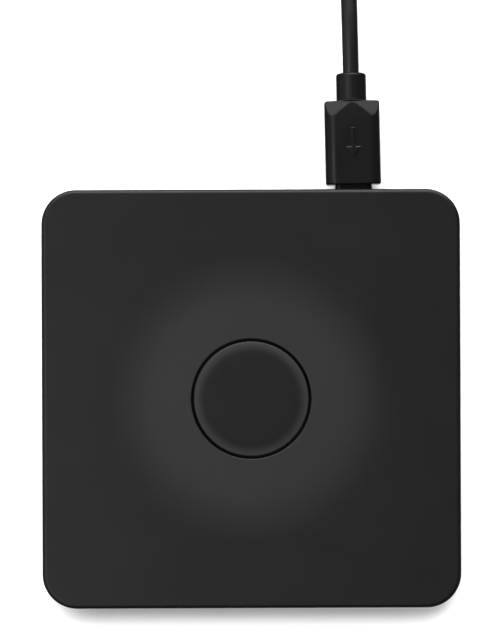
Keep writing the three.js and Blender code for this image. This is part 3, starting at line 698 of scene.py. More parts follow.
@dataclass(frozen=True)
class Finish:
    """What a surface looks like.

    Args:
        name: The material's name.
        pattern: The shared pattern that it uses.
        colour: Main colour.
        tint: Colour that the pattern mixes in.
        worn: Colour along polished edges and in dust.
        roughness: Middle roughness.
        swing: How far the roughness varies each way.
        scale: The pattern's scale.
        relief: Depth of the pattern, in metres.
        edge: Reach of the edge polish, in metres, or 0 for none.
        metallic: 1 for bare metal.
        specular: Strength of the plain reflection.
        coat: Weight of a clear coat.
        sheen: Weight of the fibre sheen.
        painted_light: A round area whose colour is painted lighter or darker as a painted sheen.
    """

    name: str
    pattern: Effect
    colour: Colour
    tint: Colour
    worn: Colour
    roughness: float
    swing: float = 0.06
    scale: float = 2500.0
    relief: float = 0.01 * MM
    edge: float = 0.0
    metallic: float = 0.0
    specular: float = 0.5
    coat: float = 0.0
    sheen: float = 0.0
    painted_light: PaintedLightRound | None = None

    def build(self, shelf: Shelf) -> bpy.types.Material:
        """Builds the material.

        Args:
            shelf: The shared node groups.

        Returns:
            The material.
        """
        material = bpy.data.materials.new(self.name)
        material.use_nodes = True
        material.diffuse_color = (*self.colour, 1.0)
        graph = Graph(material.node_tree)
        shader = material.node_tree.nodes["Principled BSDF"]
        place = graph.add("ShaderNodeTexCoord").outputs["Object"]
        pattern = shelf.use(graph, self.pattern, place, Scale=self.scale)
        handling = shelf.use(graph, Effect.HANDLING, place, Scale=60.0)

        base: Any = graph.blend(pattern["Tint"], (*self.colour, 1.0), (*self.tint, 1.0))
        # Painted light: a round area of the colour is painted lighter or darker, standing for sheen
        # rather than the material's own colour.
        if self.painted_light is not None:
            band = shelf.use(
                graph,
                Effect.ROUND_BAND,
                place,
                Radius=self.painted_light.radius,
                Softness=self.painted_light.softness,
            )
            base = graph.blend(band["Mask"], base, (*self.painted_light.colour, 1.0))
        marks = graph.math("MULTIPLY", handling["Dust"], 0.35)
        if self.edge > 0:
            polish = shelf.use(graph, Effect.EDGES, place, Radius=self.edge)
            marks = graph.math("MAXIMUM", marks, graph.math("MULTIPLY", polish["Mask"], 0.5))
        base = graph.blend(marks, base, (*self.worn, 1.0))
        graph.feed(shader.inputs["Base Color"], base)

        gloss = graph.math("ADD", pattern["Gloss"], handling["Smudge"])
        rough = graph.ramp(
            gloss, 0.0, 2.0, self.roughness + self.swing, self.roughness - self.swing
        )
        graph.feed(shader.inputs["Roughness"], rough)

        bump = graph.add("ShaderNodeBump")
        bump.inputs["Strength"].default_value = 1.0
        bump.inputs["Distance"].default_value = self.relief
        graph.feed(bump.inputs["Height"], pattern["Height"])
        graph.feed(shader.inputs["Normal"], bump.outputs["Normal"])

        shader.inputs["Metallic"].default_value = self.metallic
        shader.inputs["Specular IOR Level"].default_value = self.specular
        shader.inputs["Coat Weight"].default_value = self.coat
        shader.inputs["Sheen Weight"].default_value = self.sheen
        return material


SOFT_TOUCH = Finish(
    name="soft_touch_plastic",
    pattern=Effect.MOULDED,
    colour=grey(0.0026),
    tint=grey(0.0034),
    worn=grey(0.016),
    roughness=0.46,
    swing=0.03,
    scale=2600.0,
    relief=0.006 * MM,
    edge=0.25 * MM,
    specular=0.32,
    # Painted sheen: the top face is painted lighter out to about 25 mm from the middle, fading over 7
    # mm each way.
    painted_light=PaintedLightRound(25.5 * MM, 7.0 * MM, grey(0.0097)),
)
BASE_PLASTIC = Finish(
    name="textured_base_plastic",
    pattern=Effect.MOULDED,
    colour=grey(0.009),
    tint=grey(0.0115),
    worn=grey(0.03),
    roughness=0.62,
    scale=1500.0,
    relief=0.02 * MM,
    edge=0.25 * MM,
    specular=0.4,
)
GRIP_SILICONE = Finish(
    name="grip_silicone",
    pattern=Effect.SILICONE,
    colour=grey(0.0135),
    tint=grey(0.0148),
    worn=grey(0.026),
    roughness=0.6,
    scale=2400.0,
    relief=0.004 * MM,
    specular=0.28,
    # Painted sheen: the disc's middle is painted darker out to 11.1 mm, so its rim reads as a lighter
    # painted sheen.
    painted_light=PaintedLightRound(11.1 * MM, 1.3 * MM, grey(0.0025)),
)
SMOKED_PLASTIC = Finish(
    name="smoked_light_guide",
    pattern=Effect.CAST,
    colour=(0.0012, 0.0012, 0.0013),
    tint=(0.002, 0.002, 0.0022),
    worn=grey(0.004),
    roughness=0.28,
    scale=900.0,
    relief=0.002 * MM,
    specular=0.25,
)
FOOT_RUBBER = Finish(
    name="foot_rubber",
    pattern=Effect.SILICONE,
    colour=grey(0.012),
    tint=(0.018, 0.018, 0.017),
    worn=(0.06, 0.06, 0.055),
    roughness=0.82,
    scale=1300.0,
    relief=0.02 * MM,
)
PLUG_PLASTIC = Finish(
    name="moulded_plug_plastic",
    pattern=Effect.MOULDED,
    colour=grey(0.0016),
    tint=grey(0.0024),
    worn=grey(0.01),
    roughness=0.4,
    scale=2400.0,
    relief=0.005 * MM,
    edge=0.25 * MM,
    specular=0.28,
)
CORD_SHEATH = Finish(
    name="cord_sheath",
    pattern=Effect.SHEATH,
    colour=grey(0.0025),
    tint=grey(0.0035),
    worn=grey(0.01),
    roughness=0.38,
    scale=1600.0,
    relief=0.004 * MM,
    specular=0.45,
)
NICKEL = Finish(
    name="nickel_plate",
    pattern=Effect.METAL,
    colour=(0.82, 0.8, 0.77),
    tint=(0.76, 0.74, 0.7),
    worn=(0.88, 0.87, 0.85),
    roughness=0.36,
    scale=2200.0,
    relief=0.002 * MM,
    edge=0.12 * MM,
    metallic=1.0,
    swing=0.03,
)
GOLD_FLASH = Finish(
    name="gold_flash_contact",
    pattern=Effect.METAL,
    colour=(0.75, 0.5, 0.16),
    tint=(0.6, 0.38, 0.11),
    worn=(0.8, 0.62, 0.3),
    roughness=0.3,
    scale=2600.0,
    relief=0.001 * MM,
    metallic=1.0,
)
SCREW_ZINC = Finish(
    name="zinc_screw",
    pattern=Effect.METAL,
    colour=(0.6, 0.61, 0.63),
    tint=(0.48, 0.49, 0.51),
    worn=(0.7, 0.7, 0.71),
    roughness=0.38,
    scale=3000.0,
    relief=0.004 * MM,
    edge=0.12 * MM,
    metallic=1.0,
)
COIL_WIRE = Finish(
    name="enamelled_copper_strands",
    pattern=Effect.WINDING,
    colour=(0.42, 0.15, 0.05),
    tint=(0.3, 0.09, 0.03),
    worn=(0.5, 0.22, 0.1),
    roughness=0.36,
    scale=2200.0,
    relief=0.05 * MM,
    metallic=0.8,
)
FERRITE = Finish(
    name="sintered_ferrite",
    pattern=Effect.MINERAL,
    colour=(0.03, 0.03, 0.033),
    tint=(0.042, 0.042, 0.046),
    worn=grey(0.07),
    roughness=0.6,
    scale=1800.0,
    relief=0.02 * MM,
)
CERAMIC = Finish(
    name="capacitor_ceramic",
    pattern=Effect.MINERAL,
    colour=(0.42, 0.26, 0.13),
    tint=(0.36, 0.21, 0.1),
    worn=(0.5, 0.35, 0.2),
    roughness=0.5,
    scale=2500.0,
    relief=0.005 * MM,
)
CRADLE_PLASTIC = Finish(
    name="natural_cradle_plastic",
    pattern=Effect.MOULDED,
    colour=(0.66, 0.65, 0.6),
    tint=(0.58, 0.57, 0.52),
    worn=(0.78, 0.77, 0.74),
    roughness=0.52,
    scale=1400.0,
    relief=0.012 * MM,
    edge=0.2 * MM,
)
SOLDER_MASK = Finish(
    name="solder_mask_board",
    pattern=Effect.BOARD,
    colour=(0.008, 0.075, 0.028),
    tint=(0.02, 0.16, 0.055),
    worn=(0.05, 0.2, 0.1),
    roughness=0.34,
    scale=260.0,
    relief=0.03 * MM,
    coat=0.3,
)
CHIP_EPOXY = Finish(
    name="chip_epoxy",
    pattern=Effect.MOULDED,
    colour=(0.012, 0.012, 0.013),
    tint=(0.018, 0.018, 0.019),
    worn=grey(0.05),
    roughness=0.55,
    scale=4200.0,
    relief=0.006 * MM,
)
TIN_TERMINAL = Finish(
    name="tinned_terminal",
    pattern=Effect.METAL,
    colour=(0.8, 0.8, 0.81),
    tint=(0.7, 0.7, 0.72),
    worn=grey(0.88),
    roughness=0.38,
    scale=3000.0,
    relief=0.003 * MM,
    metallic=1.0,
)
CAST_RESIN = Finish(
    name="cast_lens_resin",
    pattern=Effect.CAST,
    colour=(0.78, 0.75, 0.62),
    tint=(0.7, 0.66, 0.5),
    worn=(0.85, 0.84, 0.8),
    roughness=0.2,
    scale=2600.0,
    relief=0.002 * MM,
    coat=0.4,
)
CONTACT_CARRIER = Finish(
    name="contact_carrier_plastic",
    pattern=Effect.MOULDED,
    colour=grey(0.007),
    tint=grey(0.01),
    worn=grey(0.03),
    roughness=0.5,
    scale=3600.0,
    relief=0.004 * MM,
)
WOVEN_TAPE = Finish(
    name="hook_and_loop_tape",
    pattern=Effect.WOVEN,
    colour=grey(0.0035),
    tint=grey(0.016),
    worn=grey(0.03),
    roughness=0.9,
    scale=3000.0,
    relief=0.09 * MM,
    sheen=0.08,
)


class Workshop:
    """Hands out each finish's material, built once."""

    def __init__(self) -> None:
        """Builds the shared node groups."""
        self.shelf = Shelf()
        self.made: dict[str, bpy.types.Material] = {}

    def material(self, finish: Finish) -> bpy.types.Material:
        """Returns a finish's material."""
        if finish.name not in self.made:
            self.made[finish.name] = finish.build(self.shelf)
        return self.made[finish.name]


# ------------------------------------------------------------------ putting pieces in place


@dataclass
class Bench:
    """What every sub-assembly works with.

    Args:
        workshop: The finishes.
    """

    frame: dict[str, Any]
    workshop: Workshop

    def place(
        self,
        made: bpy.types.Object,
        body: str,
        slot: str,
        replaced: Sequence[str] = (),
    ) -> bpy.types.Object:
        """Puts a piece on its body.

        Args:
            made: The piece.
            body: The body that it rides on.
            slot: Not used; the record's material slot that it would take.
            replaced: The frame's nodes that it stands for.

        Returns:
            The piece.
        """
        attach(made, body)
        if replaced:
            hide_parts(*replaced)
        LOG.info("%s rides on %s", made.name, body)
        return made

    def make(
        self,
        skin: Skin,
        name: str,
        finishes: Sequence[Finish],
        body: str,
        slot: str,
        replaced: Sequence[str] = (),
        sharp: float = 32.0,
    ) -> bpy.types.Object:
        """Makes a piece of a skin and puts it on its body.

        Args:
            skin: The skin, which is used up.
            name: The piece's name.
            finishes: Its finishes, by material index.
            body: The body that it rides on.
            slot: Not used; the record's material slot that it would take.
            replaced: The frame's nodes that it stands for.
            sharp: Angle in degrees from which an edge stays sharp.

        Returns:
            The piece.
        """
        materials = [self.workshop.material(finish) for finish in finishes]
        return self.place(skin.piece(name, materials, sharp), body, slot, replaced)

    def dress(self, node: str, finish: Finish) -> bpy.types.Object:
        """Gives one of the frame's own nodes its finish and smooth shading.

        Args:
            node: The node's name.
            finish: Its finish.

        Returns:
            The node's object.
        """
        kept = self.frame["nodes"][node]
        mesh = bmesh.new()
        mesh.from_mesh(kept.data)
        soften(mesh, 28.0)
        mesh.to_mesh(kept.data)
        mesh.free()
        kept.data.materials.clear()
        kept.data.materials.append(self.workshop.material(finish))
        keep_flats_flat(kept)
        LOG.info("%s keeps its shape", node)
        return kept


# ------------------------------------------------------------------ casing

FOOT_NODES = ("foot_front_left", "foot_front_right", "foot_back_left", "foot_back_right")


@dataclass
class Casing:
    """Top cover, base cover, feet and screws.

    Args:
        bench: Where the pieces are made.
        corner_radius: The covers' plan radius.
        edge_radius: Rounding along the top edge.
        lower_radius: Rounding along the lower edge.
        wall: Thickness of the side walls.
        opening_radius: Radius of the round opening.
        roof: Thickness of the top face.
        floor: Thickness of the base.
        seam: Open line between the covers.
        lip: Thickness of the base's lip, and its height inside the top cover.
        clearance: Gap round the lip and the feet.
        post_radius: Radius of the screw posts.
        bore: Radius of the screw holes.
        head_bore: Radius of the wider holes for the screws' heads.
        shoulder: Thickness that a screw's head bears on.
        play: Small gap under what rests on a face.
        standoff_radius: Radius of the posts that hold the board up.
        peg_radius: Radius of the pegs that stand in the board's holes.
        peg_inset: How far the pegs stand in from the board's right and back edges.
        spigot: Outer and inner radius of the ring that centres the cradle.
        neck: The way through the back wall for the plug's neck.
    """

    bench: Bench
    corner_radius: float = 7.4 * MM
    edge_radius: float = 1.0 * MM
    lower_radius: float = 1.6 * MM
    wall: float = 1.8 * MM
    opening_radius: float = 12.92 * MM
    roof: float = 1.5 * MM
    floor: float = 1.6 * MM
    seam: float = 0.15 * MM
    lip: float = 1.2 * MM
    clearance: float = 0.15 * MM
    post_radius: float = 3.1 * MM
    bore: float = 1.15 * MM
    head_bore: float = 2.05 * MM
    shoulder: float = 1.4 * MM
    play: float = 0.05 * MM
    standoff_radius: float = 1.8 * MM
    peg_radius: float = 0.8 * MM
    peg_inset: tuple[float, float] = (2.5 * MM, 9.0 * MM)
    spigot: tuple[float, float] = (22.2 * MM, 21.0 * MM)
    neck: Section = field(default_factory=lambda: Section(4.3 * MM, 1.75 * MM, 1.4 * MM, 8))

    def __post_init__(self) -> None:
        """Reads the covers' places from the frame."""
        self.low, self.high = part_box("top_cover")
        self.half = self.high.x
        self.ceiling = self.high.z - self.roof
        self.directions = self._directions()

    @staticmethod
    def _directions() -> list[float]:
        """Lists the directions of the cover's points, closer together at the corners."""
        side = [5.0 * i for i in range(8)] + [38.5]
        corner = [39.9 + 10.2 * i / 18 for i in range(19)]
        quarter = side + corner + [90.0 - angle for angle in reversed(side)][:-1]
        return [math.radians(angle + 90.0 * turn) for turn in range(4) for angle in quarter]

    def _outline(self, inset: float) -> Flat:
        """Returns the rounded square at an inset, one point in each direction."""
        half = self.half - inset
        radius = max(self.corner_radius - inset, 0.3 * MM)
        return rounded_outline(half, half, radius, self.directions)

    def _round(self, radius: float) -> Flat:
        """Returns a circle with one point in each direction."""
        return [(radius * math.cos(a), radius * math.sin(a)) for a in self.directions]

    def _between(self, inset: float, radius: float, share: float) -> Flat:
        """Returns an outline part of the way from the rounded square to a circle."""
        pairs = zip(self._outline(inset), self._round(radius))
        return [
            (sx + (cx - sx) * share, sy + (cy - sy) * share) for (sx, sy), (cx, cy) in pairs
        ]

    def _cover_loops(self) -> list[Loop]:
        """Lists the top cover's loops, up the outside, over the top and down the inside."""
        top, edge, chamfer = self.high.z, self.edge_radius, 0.12 * MM
        rim = 0.2 * MM
        loops = [
            at_height(self._outline(chamfer), self.low.z),
            at_height(self._outline(0.0), self.low.z + chamfer),
            at_height(self._outline(0.0), self.low.z + 4 * chamfer),
            at_height(self._outline(0.0), top - edge - 0.3 * MM),
        ]
        for inset, z in arc((edge, top - edge), edge, 180.0, 90.0, 10):
            loops.append(at_height(self._outline(inset), z))
        for extra in (0.12 * MM, 0.6 * MM):
            loops.append(at_height(self._outline(edge + extra), top))
        widest = 26 * MM
        for share in (0.25, 0.5, 0.75):
            loops.append(at_height(self._between(edge + 0.6 * MM, widest, share), top))
        for radius in (widest, 20 * MM, 15 * MM, self.opening_radius + 3 * rim):
            loops.append(at_height(self._round(radius), top))
        for radius, z in arc((self.opening_radius + rim, top - rim), rim, 90.0, 180.0, 5):
            loops.append(at_height(self._round(radius), z))
        loops.append(at_height(self._round(self.opening_radius), self.ceiling))
        loops.append(at_height(self._round(self.opening_radius + MM), self.ceiling))
        loops.append(at_height(self._outline(self.wall + 0.4 * MM), self.ceiling))
        loops.append(at_height(self._outline(self.wall), self.ceiling - 0.4 * MM))
        loops.append(at_height(self._outline(self.wall), self.low.z))
        return loops

    def top_cover(self) -> bpy.types.Object:
        """Makes the top cover, with its posts and the opening in its back wall."""
        skin = Skin().loft(self._cover_loops(), Ends.JOINED)
        posts = Skin()
        bottom, bore = self.low.z + self.lip + self.play, self.bore
        rise, rooted = self.ceiling - 0.25 * MM, self.ceiling + 0.4 * MM
        post = [(bore, rise), (bore, bottom), (self.post_radius, bottom)]
        post += [(self.post_radius, rooted), (0.4 * bore, rooted), (0.4 * bore, rise)]
        for node in FOOT_NODES:
            posts.turned(post, plan_centre(*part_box(node)), ends=Ends.JOINED)
        skin.carve(posts, Carving.JOIN)
        socket_low, socket_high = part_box("socket_shell")
        middle = (socket_low + socket_high) / 2
        straight, flared = self.neck.points(), self.neck.inset(-0.25 * MM).points()
        back = self.half
        opening = Skin().loft(
            [
                across_y(straight, back - self.wall - MM),
                across_y(straight, back - 0.25 * MM),
                across_y(flared, back + 0.05 * MM),
                across_y(flared, back + MM),
            ]
        )
        opening.moved(Matrix.Translation((middle.x, 0.0, middle.z)))
        skin.carve(opening, Carving.CUT)
        return self.bench.make(
            skin,
            "soft_touch_cover",
            [SOFT_TOUCH],
            "pad",
            "soft_touch_black",
            ["top_cover"],
            sharp=40.0,
        )

    def _tray_loops(self, bottom: float) -> list[Loop]:
        """Lists the base's loops, from its underside out, up over the lip and down inside."""
        edge, soft = self.lower_radius, 0.12 * MM
        top, lip_top = self.low.z - self.seam, self.low.z + self.lip
        outside = self.wall + self.clearance
        inside = outside + self.lip
        levels = [(edge + 1.5 * MM, bottom), (edge + 0.3 * MM, bottom)]
        levels += arc((edge, bottom + edge), edge, 270.0, 180.0, 12)
        levels += [(0.0, top - soft), (soft, top), (outside, top), (outside, lip_top - soft)]
        levels += [(outside + soft, lip_top), (inside - soft, lip_top)]
        levels += [(inside, lip_top - soft), (inside, bottom + self.floor)]
        return [at_height(self._outline(inset), z) for inset, z in levels]

    def _base_fittings(self, rooted: float, bottom: float) -> Skin:
        """Makes what stands on the base: screw bosses, board pegs and the cradle's spigot.

        Args:
            rooted: Height inside the floor that each starts from.
            bottom: The base's underside.

        Returns:
            Their skins.
        """
        fittings = Skin()
        boss = self.post_radius + self.play
        for node in FOOT_NODES:
            centre = plan_centre(*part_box(node))
            fittings.turned([(boss, rooted), (boss, self.low.z + self.lip)], centre)
        low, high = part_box("circuit_board")
        rest, soft = low.z - self.play, 0.1 * MM
        peg_top = high.z + 0.65 * MM
        peg = [(self.standoff_radius, rooted), (self.standoff_radius, rest)]
        peg += [(self.peg_radius, rest), (self.peg_radius, peg_top - soft)]
        peg += [(self.peg_radius - soft, peg_top)]
        inset_x, inset_y = self.peg_inset
        for x in (low.x + inset_x, high.x - inset_x):
            fittings.turned(peg, (x, high.y - inset_y), 32)
        outer, inner = self.spigot
        top = bottom + self.floor + MM
        ring = [(outer, rooted), (outer, top - soft), (outer - soft, top)]
        ring += [(inner, top), (inner, rooted)]
        return fittings.turned(ring, sides=96, ends=Ends.JOINED)

    def _base_holes(self, bottom: float) -> Skin:
        """Makes what is cut out of the base: foot recesses, screw holes and the notch.

        Args:
            bottom: The base's underside.

        Returns:
            Their skins.
        """
        holes = Skin()
        lip_top, flare = self.low.z + self.lip, 0.2 * MM
        bearing = lip_top - self.shoulder
        for node in FOOT_NODES:
            low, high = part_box(node)
            recess = (high.x - low.x) / 2 + self.clearance
            ceiling = high.z + self.play
            steps = [(recess + flare, bottom - MM), (recess + flare, bottom)]
            steps += [(recess, bottom + flare), (recess, ceiling)]
            steps += [(self.head_bore, ceiling), (self.head_bore, bearing)]
            steps += [(self.bore, bearing), (self.bore, lip_top + MM)]
            holes.turned(steps, plan_centre(low, high), 64)
        low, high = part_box("socket_shell")
        side = Vector((2 * MM, 0.0, 0.0))
        notch_low = Vector((low.x, self.half - 5 * MM, self.low.z - 0.2 * MM)) - side
        notch_high = Vector((high.x, self.half + MM, lip_top + MM)) + side
        return holes.block(notch_low, notch_high, self.play)

    def base_cover(self) -> bpy.types.Object:
        """Makes the base: a tray with its fittings and holes."""
        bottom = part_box("base_cover")[0].z
        rooted = bottom + 0.6 * self.floor
        skin = Skin().loft(self._tray_loops(bottom))
        skin.carve(self._base_fittings(rooted, bottom), Carving.JOIN)
        skin.carve(self._base_holes(bottom), Carving.CUT)
        return self.bench.make(
            skin, "textured_base", [BASE_PLASTIC], "pad", "base_black", ["base_cover"], sharp=34.0
        )

    def feet(self) -> None:
        """Makes the rubber feet, each with a rounded rim and a shallow cup."""
        for node in FOOT_NODES:
            low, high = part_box(node)
            centre = plan_centre(low, high)
            radius, edge, cup = (high.x - low.x) / 2, 0.35 * MM, 0.15 * MM
            profile = [(0.6 * radius, low.z + cup), (0.64 * radius, low.z + 0.4 * cup)]
            profile += [(0.68 * radius, low.z)]
            profile += arc((radius - edge, low.z + edge), edge, -90.0, 0.0, 6)
            profile += [(radius, high.z - 0.1 * MM), (radius - 0.1 * MM, high.z)]
            skin = Skin().turned(profile, centre, 64)
            name = node.replace("foot", "rubber_foot")
            self.bench.make(skin, name, [FOOT_RUBBER], "pad", "foot_rubber", [node])

    def build(self) -> None:
        """Makes the covers and feet, and dresses the screws."""
        self.top_cover()
        self.base_cover()
        self.feet()
        for node in FOOT_NODES:
            self.bench.dress(node.replace("foot", "case_screw"), SCREW_ZINC)


# ------------------------------------------------------------------ grip disc


@dataclass
class GripDisc:
    """The soft disc in the middle of the top face, and the light guide under it.

    Args:
        bench: Where the pieces are made.
        flat_radius: Radius of the flat in its middle.
        crown: Fall from the flat to the rim.
        rim: Rounding at the rim.
    """

    bench: Bench
    flat_radius: float = 8.2 * MM
    crown: float = 0.2 * MM
    rim: float = 0.3 * MM

    def build(self) -> None:
        """Makes the disc and dresses the light guide."""
        low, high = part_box("grip_disc")
        radius = high.x
        shoulder = radius - self.rim
        profile = [(2 * MM, high.z), (self.flat_radius, high.z)]
        steps = 12
        for step in range(1, steps + 1):
            share = step / steps
            profile.append(
                (
                    self.flat_radius + (shoulder - self.flat_radius) * share,
                    high.z - self.crown * share**2,
                )
            )
        fall = high.z - self.crown
        profile += arc((shoulder, fall - self.rim), self.rim, 72.0, 0.0, 8)
        profile += [(radius, low.z + 0.1 * MM), (radius - 0.1 * MM, low.z)]
        skin = Skin().turned(profile, sides=128)
        self.bench.make(
            skin, "silicone_grip_disc", [GRIP_SILICONE], "pad", "grip_silicone", ["grip_disc"]
        )
        self.bench.dress("light_guide", SMOKED_PLASTIC)


# ------------------------------------------------------------------ inside the pad


@dataclass
class ChargingCoil:
    """The coil, its wires, the ferrite sheet and the cradle.

    Args:
        bench: Where the pieces are made.
    """

    bench: Bench

    def build(self) -> None:
        """Dresses the coil's nodes."""
        for node in ("transmit_coil", "coil_wire_outer", "coil_wire_inner"):
            self.bench.dress(node, COIL_WIRE)
        self.bench.dress("ferrite_sheet", FERRITE)
        self.bench.dress("coil_cradle", CRADLE_PLASTIC)


@dataclass
class CircuitBoard:
    """The board, what is soldered on it and the power socket.

    Args:
        bench: Where the pieces are made.
        pad_pitch: Distance between the chips' terminals, and between the socket's contacts.
        socket_wall: Thickness of the socket's metal shell.
        cap_length: Length of the metal ends of a capacitor.
        mark: Inner and outer radius of the round mark on the choke.
        mark_depth: Depth of that mark.
    """

    bench: Bench
    pad_pitch: float = 0.65 * MM
    socket_wall: float = 0.25 * MM
    cap_length: float = 0.45 * MM
    mark: tuple[float, float] = (1.7 * MM, 2.0 * MM)
    mark_depth: float = 0.12 * MM

    def chip(self, node: str) -> None:
        """Makes a chip: moulded body, dimple at its first pin, terminals on all sides."""
        low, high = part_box(node)
        skin = Skin()
        lift = Vector((0, 0, 0.05 * MM))
        skin.block(low + lift, high, 0.12 * MM)
        count = int((high.x - low.x) / self.pad_pitch) - 1
        size = Vector((0.15 * MM, 0.12 * MM, 0.1 * MM))
        for i in range(count):
            along = low.x + (high.x - low.x) * (i + 1) / (count + 1)
            across = low.y + (high.y - low.y) * (i + 1) / (count + 1)
            for x, y in ((along, low.y), (along, high.y), (low.x, across), (high.x, across)):
                middle = Vector((x, y, low.z + size.z))
                skin.block(middle - size, middle + size, 0.03 * MM, 1)
        dimple = Skin()
        corner = (low.x + 0.8 * MM, high.y - 0.8 * MM)
        dimple.turned([(0.3 * MM, high.z - 0.08 * MM), (0.34 * MM, high.z + 0.1 * MM)], corner, 24)
        skin.carve(dimple, Carving.CUT)
        self.bench.make(
            skin, f"{node}_package", [CHIP_EPOXY, TIN_TERMINAL], "pad", "chip_black", [node]
        )

    def capacitor(self, node: str) -> None:
        """Makes a ceramic capacitor with metal ends."""
        low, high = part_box(node)
        cap = self.cap_length
        skin = Skin()
        inner = Vector((0.04 * MM, cap / 2, 0.04 * MM))
        skin.block(low + inner, high - inner, 0.06 * MM)
        skin.block(low, Vector((high.x, low.y + cap, high.z)), 0.08 * MM, 1)
        skin.block(Vector((low.x, high.y - cap, low.z)), high, 0.08 * MM, 1)
        self.bench.make(
            skin, f"{node}_block", [CERAMIC, TIN_TERMINAL], "pad", "capacitor_tan", [node]
        )

    def choke(self) -> None:
        """Makes the choke: pressed block with a round mark and side terminals."""
        low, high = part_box("choke")
        centre = plan_centre(low, high)
        skin = Skin().block(low, high, 0.3 * MM)
        inner, outer = self.mark
        above, below = high.z + 0.2 * MM, high.z - self.mark_depth
        ring = [(inner, above), (inner, below), (outer, below), (outer, above)]
        skin.carve(Skin().turned(ring, centre, 40, Ends.JOINED), Carving.CUT)
        for x in (low.x, high.x):
            middle = Vector((x, centre[1], low.z + 0.5 * MM))
            size = Vector((0.12 * MM, 1.1 * MM, 0.48 * MM))
            skin.block(middle - size, middle + size, 0.05 * MM, 1)
        self.bench.make(
            skin, "choke_block", [FERRITE, TIN_TERMINAL], "pad", "ferrite_grey", ["choke"]
        )

    def status_light(self, node: str) -> None:
        """Makes a status light: a small carrier with terminals and a domed lens."""
        low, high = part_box(node)
        centre = plan_centre(low, high)
        waist = low.z + 0.35 * MM
        skin = Skin().block(low, Vector((high.x, high.y, waist)), 0.05 * MM, 1)
        half = (high.y - low.y) / 2
        dome = [(half - 0.08 * MM, waist - 0.05 * MM)]
        dome += arc((0.1 * MM, waist), half - 0.18 * MM, 0.0, 80.0, 6)
        skin.turned(dome, centre, 24)
        self.bench.make(
            skin, f"{node}_lamp", [CAST_RESIN, TIN_TERMINAL], "pad", "light_white", [node]
        )

    def socket(self) -> None:
        """Makes the socket's rolled shell and its contacts."""
        low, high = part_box("socket_shell")
        middle = (low + high) / 2
        outer = Section((high.x - low.x) / 2, (high.z - low.z) / 2, 0.6 * MM, 6)
        inner = outer.inset(self.socket_wall)
        loops = [
            across_y(outer.points(), low.y),
            across_y(outer.points(), high.y - 0.1 * MM),
            across_y(outer.inset(0.08 * MM).points(), high.y),
            across_y(inner.points(), high.y - 0.05 * MM),
            across_y(inner.points(), low.y + self.socket_wall),
        ]
        skin = Skin().loft(loops).moved(Matrix.Translation((middle.x, 0, middle.z)))
        self.bench.make(
            skin, "rolled_socket_shell", [NICKEL], "pad", "nickel", ["socket_shell"]
        )
        self.bench.dress("socket_tongue", CONTACT_CARRIER)
        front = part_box("socket_tongue")[1].y
        contacts = Skin()
        for i in range(-2, 3):
            x = middle.x + i * self.pad_pitch
            z = middle.z - 0.3 * MM
            contacts.block(
                Vector((x - 0.17 * MM, front - 2.5 * MM, z - 0.05 * MM)),
                Vector((x + 0.17 * MM, front - 0.3 * MM, z + 0.02 * MM)),
                0.015 * MM,
            )
        self.bench.make(contacts, "socket_contacts", [GOLD_FLASH], "pad", "nickel")

    def build(self) -> None:
        """Makes everything on the board."""
        self.bench.dress("circuit_board", SOLDER_MASK)
        for node in ("control_chip", "bridge_chip_left", "bridge_chip_right"):
            self.chip(node)
        for number in range(1, 5):
            self.capacitor(f"tuning_capacitor_{number}")
        self.choke()
        for node in ("status_light_left", "status_light_right"):
            self.status_light(node)
        self.socket()


# ------------------------------------------------------------------ plugs


def drawn_in(outline: Flat, amount: float) -> Flat:
    """Moves each side of an anticlockwise outline inward by the same amount.

    Args:
        outline: The outline's corners.
        amount: How far its sides move.

    Returns:
        The new corners.
    """
    corners = [Vector(corner) for corner in outline]
    moved = []
    for i, corner in enumerate(corners):
        before = (corner - corners[i - 1]).normalized()
        after = (corners[(i + 1) % len(corners)] - corner).normalized()
        inward_before, inward_after = before.orthogonal(), after.orthogonal()
        middle = inward_before + inward_after
        moved.append(tuple(corner + middle * amount / (1 + inward_before.dot(inward_after))))
    return moved


AROUND = [math.radians(2.5 * i) for i in range(144)]


